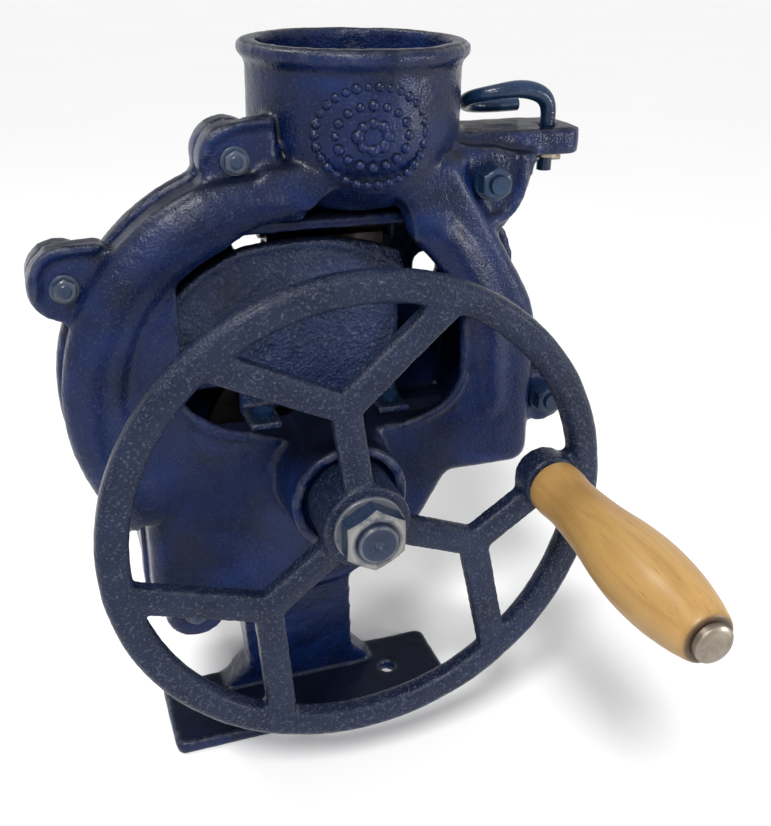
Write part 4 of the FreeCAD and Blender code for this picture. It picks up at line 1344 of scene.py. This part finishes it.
@dataclass
class HandWheel:
    """The hand wheel with its rounded spokes, and the nut and shaft end in front of it."""

    palette: Palette
    skin: Skin = field(default_factory=lambda: Skin(voxel=1.1, passes=7, swell=0.22, grain=0.14))
    spokes: int = 3
    hub_radius: float = 14.0
    fork_radius: float = 57.0
    rim_radius: float = 108.0
    stem: Corner = (6.8, 5.0)
    prong: Corner = (6.2, 4.8)
    nut_flats: float = 26.0
    nut_bore: float = 18.2
    washer_bore: float = 9.1
    end_radius: float = 9.02
    fork_angle: float = 98.7
    spread: float = 30.0
    middle: float = -69.5

    def spot(self, radius: float, angle: float) -> Vector:
        """Return a point in the wheel's middle plane.

        Args:
            radius: Distance from the shaft in millimetres.
            angle: Angle in degrees from the right.

        Returns:
            The point in metres.
        """
        turn = math.radians(angle)
        return place(radius * math.cos(turn), self.middle, radius * math.sin(turn))

    def build(self) -> None:
        """Make the wheel, its nut and washer and the worn end of the shaft."""
        form = Form().solid("hand_wheel")
        for number in range(self.spokes):
            angle = self.fork_angle + 360 / self.spokes * number
            fork = self.spot(self.fork_radius, angle)
            form.band([self.spot(self.hub_radius, angle), fork], *self.stem)
            for side in (-1, 1):
                form.band([fork, self.spot(self.rim_radius, angle + side * self.spread)], *self.prong)
        wheel = self.skin.lay(form, "hand_wheel_skin")
        Piece(wheel, Body.ROTOR, Slot.CASTING, self.palette.wheel, ("hand_wheel",)).join()
        self.dress()

    def dress(self) -> None:
        """Add the fasteners at the hub."""
        nut_low, nut_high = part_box("wheel_nut")
        washer_low, washer_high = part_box("wheel_washer")
        seat, front = nut_high.y / MM, nut_low.y / MM
        hexagon = Hexagon(self.nut_flats, seat - front, self.nut_bore)
        nut = Turned().add(SHAFT, hexagon.rings(seat)).finished("wheel_nut_worn")
        Piece(nut, Body.ROTOR, Slot.FASTENER, self.palette.fastener, ("wheel_nut",)).join()
        reach = (washer_high.x - washer_low.x) / 2 / MM
        face, back = washer_low.y / MM, washer_high.y / MM
        disc = [(self.washer_bore, back, 0.0), (reach, back, 0.2), (reach, face + 0.5, 0.4),
                (reach - 0.6, face, 0.4), (self.washer_bore, face, 0.1)]
        washer = Turned().lathe(SHAFT, disc).finished("wheel_washer_worn")
        Piece(washer, Body.ROTOR, Slot.FASTENER, self.palette.fastener, ("wheel_washer",)).join()
        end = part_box("shaft")[0].y / MM
        tip = [(self.end_radius, front + 2.0, 0.0), (self.end_radius, end - 0.1, 0.2), (8.2, end - 0.8, 0.45),
               (7.4, end - 0.9, 0.03), (2.4, end - 0.9, 0.0), (1.6, end - 0.2, 0.15), (0.05, end - 0.1, 0.0)]
        cap = Turned().lathe(SHAFT, tip).finished("shaft_end")
        Piece(cap, Body.ROTOR, Slot.FASTENER, self.palette.fastener).join()


@dataclass
class CrankGrip:
    """The turned wooden grip and the riveted steel spindle through it."""

    palette: Palette
    bore: float = 5.1
    ease: float = 1.6
    spindle_radius: float = 5.0
    head_radius: float = 8.0
    head_thick: float = 4.0

    def build(self) -> None:
        """Make the grip and the spindle."""
        low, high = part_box("handle_grip")
        base, end = high.y / MM, low.y / MM
        long = base - end
        shares = ((0.0, 12.6), (0.05, 12.9), (0.16, 12.2), (0.34, 13.6), (0.50, 16.0), (0.64, 17.0),
                  (0.78, 16.2), (0.90, 13.9), (0.975, 11.6))
        line = smooth_path([Vector((radius, base - share * long, 0.0)) for share, radius in shares], 6)
        # painted shade: the last number of each ring darkens the grip's base face and its end round the rivet
        # head
        profile = [(self.bore, base, 0.4), (line[0].x - self.ease, base, 0.25)]
        profile.append((line[0].x, line[0].y - self.ease / 2, 0.0))
        profile += [(point.x, point.y, 0.0) for point in line[1:]]
        profile += [(10.8, end + 1.0, 0.25), (10.0, end + 0.3, 0.85), (9.0, end, 1.0)]
        profile.append((self.bore, end + 0.6, 1.0))
        grip = Turned().lathe(CRANK, profile).finished("handle_grip_turned")
        Piece(grip, Body.GRIP, Slot.WOOD, self.palette.wood, ("handle_grip",)).join()
        self.dress()

    def dress(self) -> None:
        """Make the spindle with its rounded rivet head."""
        low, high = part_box("crank_spindle")
        front, back, under = low.y / MM, high.y / MM, low.y / MM + self.head_thick
        profile = [(0.05, front, 0.0), (5.5, front + 0.05, 0.0), (7.2, front + 0.5, 0.3),
                   (self.head_radius, front + 1.3, 0.6), (self.head_radius, under, 0.2),
                   (self.spindle_radius, under, 0.0), (self.spindle_radius, back, 0.0), (0.05, back, 0.0)]
        spindle = Turned().lathe(CRANK, profile).finished("crank_spindle_riveted")
        Piece(spindle, Body.ROTOR, Slot.STEEL, self.palette.steel, ("crank_spindle",)).join()
        coat(["grip_washer"], self.palette.steel)


@dataclass
class CasingFasteners:
    """Screws, bolts, nuts and washers that close the casing."""

    palette: Palette
    seat: float = -14.0
    washer: float = 1.6
    screw_flats: float = 9.0
    screw_head: float = 2.6
    shank_radius: float = 4.0
    shank_end: float = 11.0
    flange_radius: float = 6.2
    nut_flats: float = 13.6
    nut_thick: float = 6.6
    nut_bore: float = 7.9

    def build(self) -> None:
        """Make flanged screws in the left ears and chamfered nuts in the right ears."""
        screws = Turned()
        for lug in (Lug.HOPPER_LEFT, Lug.SHOULDER, Lug.FLOOR):
            flange = [(self.shank_radius, self.shank_end, 0.0), (self.shank_radius, self.seat, 0.0),
                      (self.flange_radius, self.seat, 0.1), (self.flange_radius, self.seat - 1.0, 0.15),
                      (5.7, self.seat - 1.5, 0.15), (self.shank_radius, self.seat - 1.6, 0.0)]
            head = Hexagon(self.screw_flats, self.screw_head, crown=0.5, rub=0.22)
            screws.lathe(self.axis(lug), flange).add(self.axis(lug), head.rings(self.seat - 1.4))
        self.dress(screws.finished("casing_screws_flanged"), "casing_screws")
        nuts, nut = Turned(), Hexagon(self.nut_flats, self.nut_thick, self.nut_bore, rub=0.04)
        for lug in (Lug.HOPPER_RIGHT, Lug.BLOCK):
            nuts.add(self.axis(lug), nut.rings(self.seat - self.washer))
        self.dress(nuts.finished("casing_nuts_chamfered"), "casing_nuts")
        coat(["casing_bolts", "casing_washers"], self.palette.fastener)

    def axis(self, lug: Lug) -> Vector:
        """Return a point on an ear's axis.

        Args:
            lug: The ear.

        Returns:
            The point in metres.
        """
        x, z = lug.value
        return place(x, 0.0, z)

    def dress(self, item: bpy.types.Object, node: str) -> None:
        """Paint fasteners.

        Args:
            item: The piece.
            node: The node that it replaces.
        """
        Piece(item, Body.FRAME, Slot.FASTENER, self.palette.fastener, (node,)).join()


@dataclass
class TensionBail:
    """The forged rod that stands in the ledge and loops back behind its own arm."""

    palette: Palette
    radius: float = 3.5
    route: tuple[Point, ...] = (
        (114, 3, 132.2), (114, 3, 150), (114.6, 3, 158), (113, 3, 165), (107, 3, 168.6), (98, 3, 170),
        (89, 3.2, 169), (81, 5.5, 167.5), (77.2, 11, 165.6), (77.4, 19, 162.2), (82, 25, 159.8),
        (90, 27, 159), (100, 27, 159), (109.6, 27, 159))
    swell: tuple[float, ...] = (1, 1, 1, 1.12, 1.2, 1.15, 1.0, 0.92, 0.9, 0.9, 0.95, 1.0, 1.0, 0.9)

    def build(self) -> None:
        """Sweep the rod along its route."""
        rod = RodSweep().lay("tension_bail_forged", [place(*spot) for spot in self.route], self.swell,
                             self.radius * MM, self.palette.fastener)
        self.dress(rod)

    def dress(self, item: bpy.types.Object) -> None:
        """Paint the rod and the pieces under it.

        Args:
            item: The rod.
        """
        Piece(item, Body.BAIL, Slot.FASTENER, self.palette.fastener, ("tension_bail",)).join()
        coat(["bail_cotter", "bail_washer"], self.palette.steel)


@dataclass
class InnerWorks:
    """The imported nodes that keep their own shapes."""

    palette: Palette

    def dress(self) -> None:
        """Give each node its metal."""
        coat(["shaft", "wheel_key", "disc_pin", "thrust_collar", "collar_screw", "hinge_pin", "pin_collars",
              "leaf_screw"], self.palette.steel)
        coat(["toothed_disc", "pressure_plate"], self.palette.iron)
        coat(["shield_screws"], self.palette.fastener)
        coat(["front_bush", "rear_bush"], self.palette.bronze)
        coat(["leaf_spring"], self.palette.dark_steel)


@dataclass
class Studio:
    """A plain pale floor, soft light and the camera."""

    camera_place: Point = (-0.1172, -0.4375, 0.3886)
    turn: float = -20.07
    look_down: float = 25.55
    roll: float = 0.956
    focal_pixels: float = 1031.67
    image_height: float = 826.0
    floor_half: float = 9.0
    floor_dark: Colour = (0.90, 0.90, 0.90)
    floor_light: Colour = (0.93, 0.93, 0.93)
    sky_light: float = 0.40
    key_from: Point = (-0.45, -0.75, 1.10)
    key_spread: float = 14.0
    key_strength: float = 2.45
    lamps: tuple[tuple[str, Point, float, float], ...] = (
        ("fill", (0.85, -0.75, 0.30), 0.13, 4.0),
        ("glint", (-0.20, -0.95, 0.70), 0.11, 2.3),
        ("crown", (-0.35, 0.25, 0.95), 0.16, 3.0))

    def build(self) -> None:
        """Make the stage."""
        self.camera()
        self.floor()
        self.sun()
        for lamp in self.lamps:
            self.light(*lamp)
        self.backdrop()
        bpy.context.scene.view_settings.view_transform = "Standard"

    def backdrop(self) -> None:
        """Make the world: white where it is seen, and a softer light on the object."""
        world = bpy.data.worlds.new("studio")
        world.use_nodes = True
        nodes, links = world.node_tree.nodes, world.node_tree.links
        sky = nodes["Background"]
        sky.inputs["Color"].default_value = (1.0, 1.0, 1.0, 1.0)
        ray = nodes.new("ShaderNodeLightPath")
        seen = ray.outputs["Is Camera Ray"]
        for kind in ("Is Glossy Ray", "Is Transmission Ray"):
            either = nodes.new("ShaderNodeMath")
            either.operation = "MAXIMUM"
            links.new(seen, either.inputs[0])
            links.new(ray.outputs[kind], either.inputs[1])
            seen = either.outputs[0]
        level = nodes.new("ShaderNodeMapRange")
        level.inputs["To Min"].default_value = self.sky_light
        links.new(seen, level.inputs["Value"])
        links.new(level.outputs[0], sky.inputs["Strength"])
        bpy.context.scene.world = world

    def camera(self) -> None:
        """Stand the camera where the view was taken from."""
        turn, down, roll = (math.radians(angle) for angle in (self.turn, self.look_down, self.roll))
        back = Vector((math.sin(turn) * math.cos(down), -math.cos(turn) * math.cos(down), math.sin(down)))
        level = Vector((math.cos(turn), math.sin(turn), 0.0))
        rise = back.cross(level)
        right = level * math.cos(roll) + rise * math.sin(roll)
        up = rise * math.cos(roll) - level * math.sin(roll)
        lens = bpy.data.cameras.new("view")
        lens.sensor_width = 36.0
        lens.lens = lens.sensor_width * self.focal_pixels / self.image_height
        lens.clip_start = 0.01
        item = linked("view", lens)
        turned = Matrix((right, up, back)).transposed().to_4x4()
        item.matrix_world = Matrix.Translation(self.camera_place) @ turned
        bpy.context.scene.camera = item

    def floor(self) -> None:
        """Lay the floor under the foot."""
        half = self.floor_half
        mesh = bpy.data.meshes.new("floor")
        corners = [(-half, -half, 0), (half, -half, 0), (half, half, 0), (-half, half, 0)]
        mesh.from_pydata(corners, [], [(0, 1, 2, 3)])
        item = linked("floor", mesh)
        shader = Shader("floor")
        tone = shader.mix(shader.noise(3.0, 2.0), self.floor_dark, self.floor_light)
        mesh.materials.append(shader.close(tone, 0.9, Specular_IOR_Level=0.1))

    def sun(self) -> None:
        """Hang the main light, far away and evenly bright over the whole floor."""
        lamp = bpy.data.lights.new("key", "SUN")
        lamp.angle = math.radians(self.key_spread)
        lamp.energy = self.key_strength
        item = linked("key", lamp)
        item.rotation_euler = (-Vector(self.key_from)).to_track_quat("-Z", "Y").to_euler()

    def light(self, name: str, spot: Point, across: float, power: float) -> None:
        """Hang one soft lamp.

        Args:
            name: The lamp's name.
            spot: Where it hangs, in metres.
            across: Its width in metres.
            power: Its power in watts.
        """
        lamp = bpy.data.lights.new(name, "AREA")
        lamp.size = across
        lamp.energy = power
        item = linked(name, lamp)
        item.location = spot
        item.rotation_euler = (SHAFT - Vector(spot)).to_track_quat("-Z", "Y").to_euler()


def main() -> None:
    """Build the machine, then the stage."""
    logging.basicConfig(level=logging.INFO)
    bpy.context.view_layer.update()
    palette = Palette.mixed()
    for assembly in (FrontCasting(palette), RearCasing(palette), HandWheel(palette), CrankGrip(palette),
                     CasingFasteners(palette), TensionBail(palette)):
        assembly.build()
        log.info("built %s", type(assembly).__name__)
    InnerWorks(palette).dress()
    Studio().build()


if __name__ == "__main__":
    main()
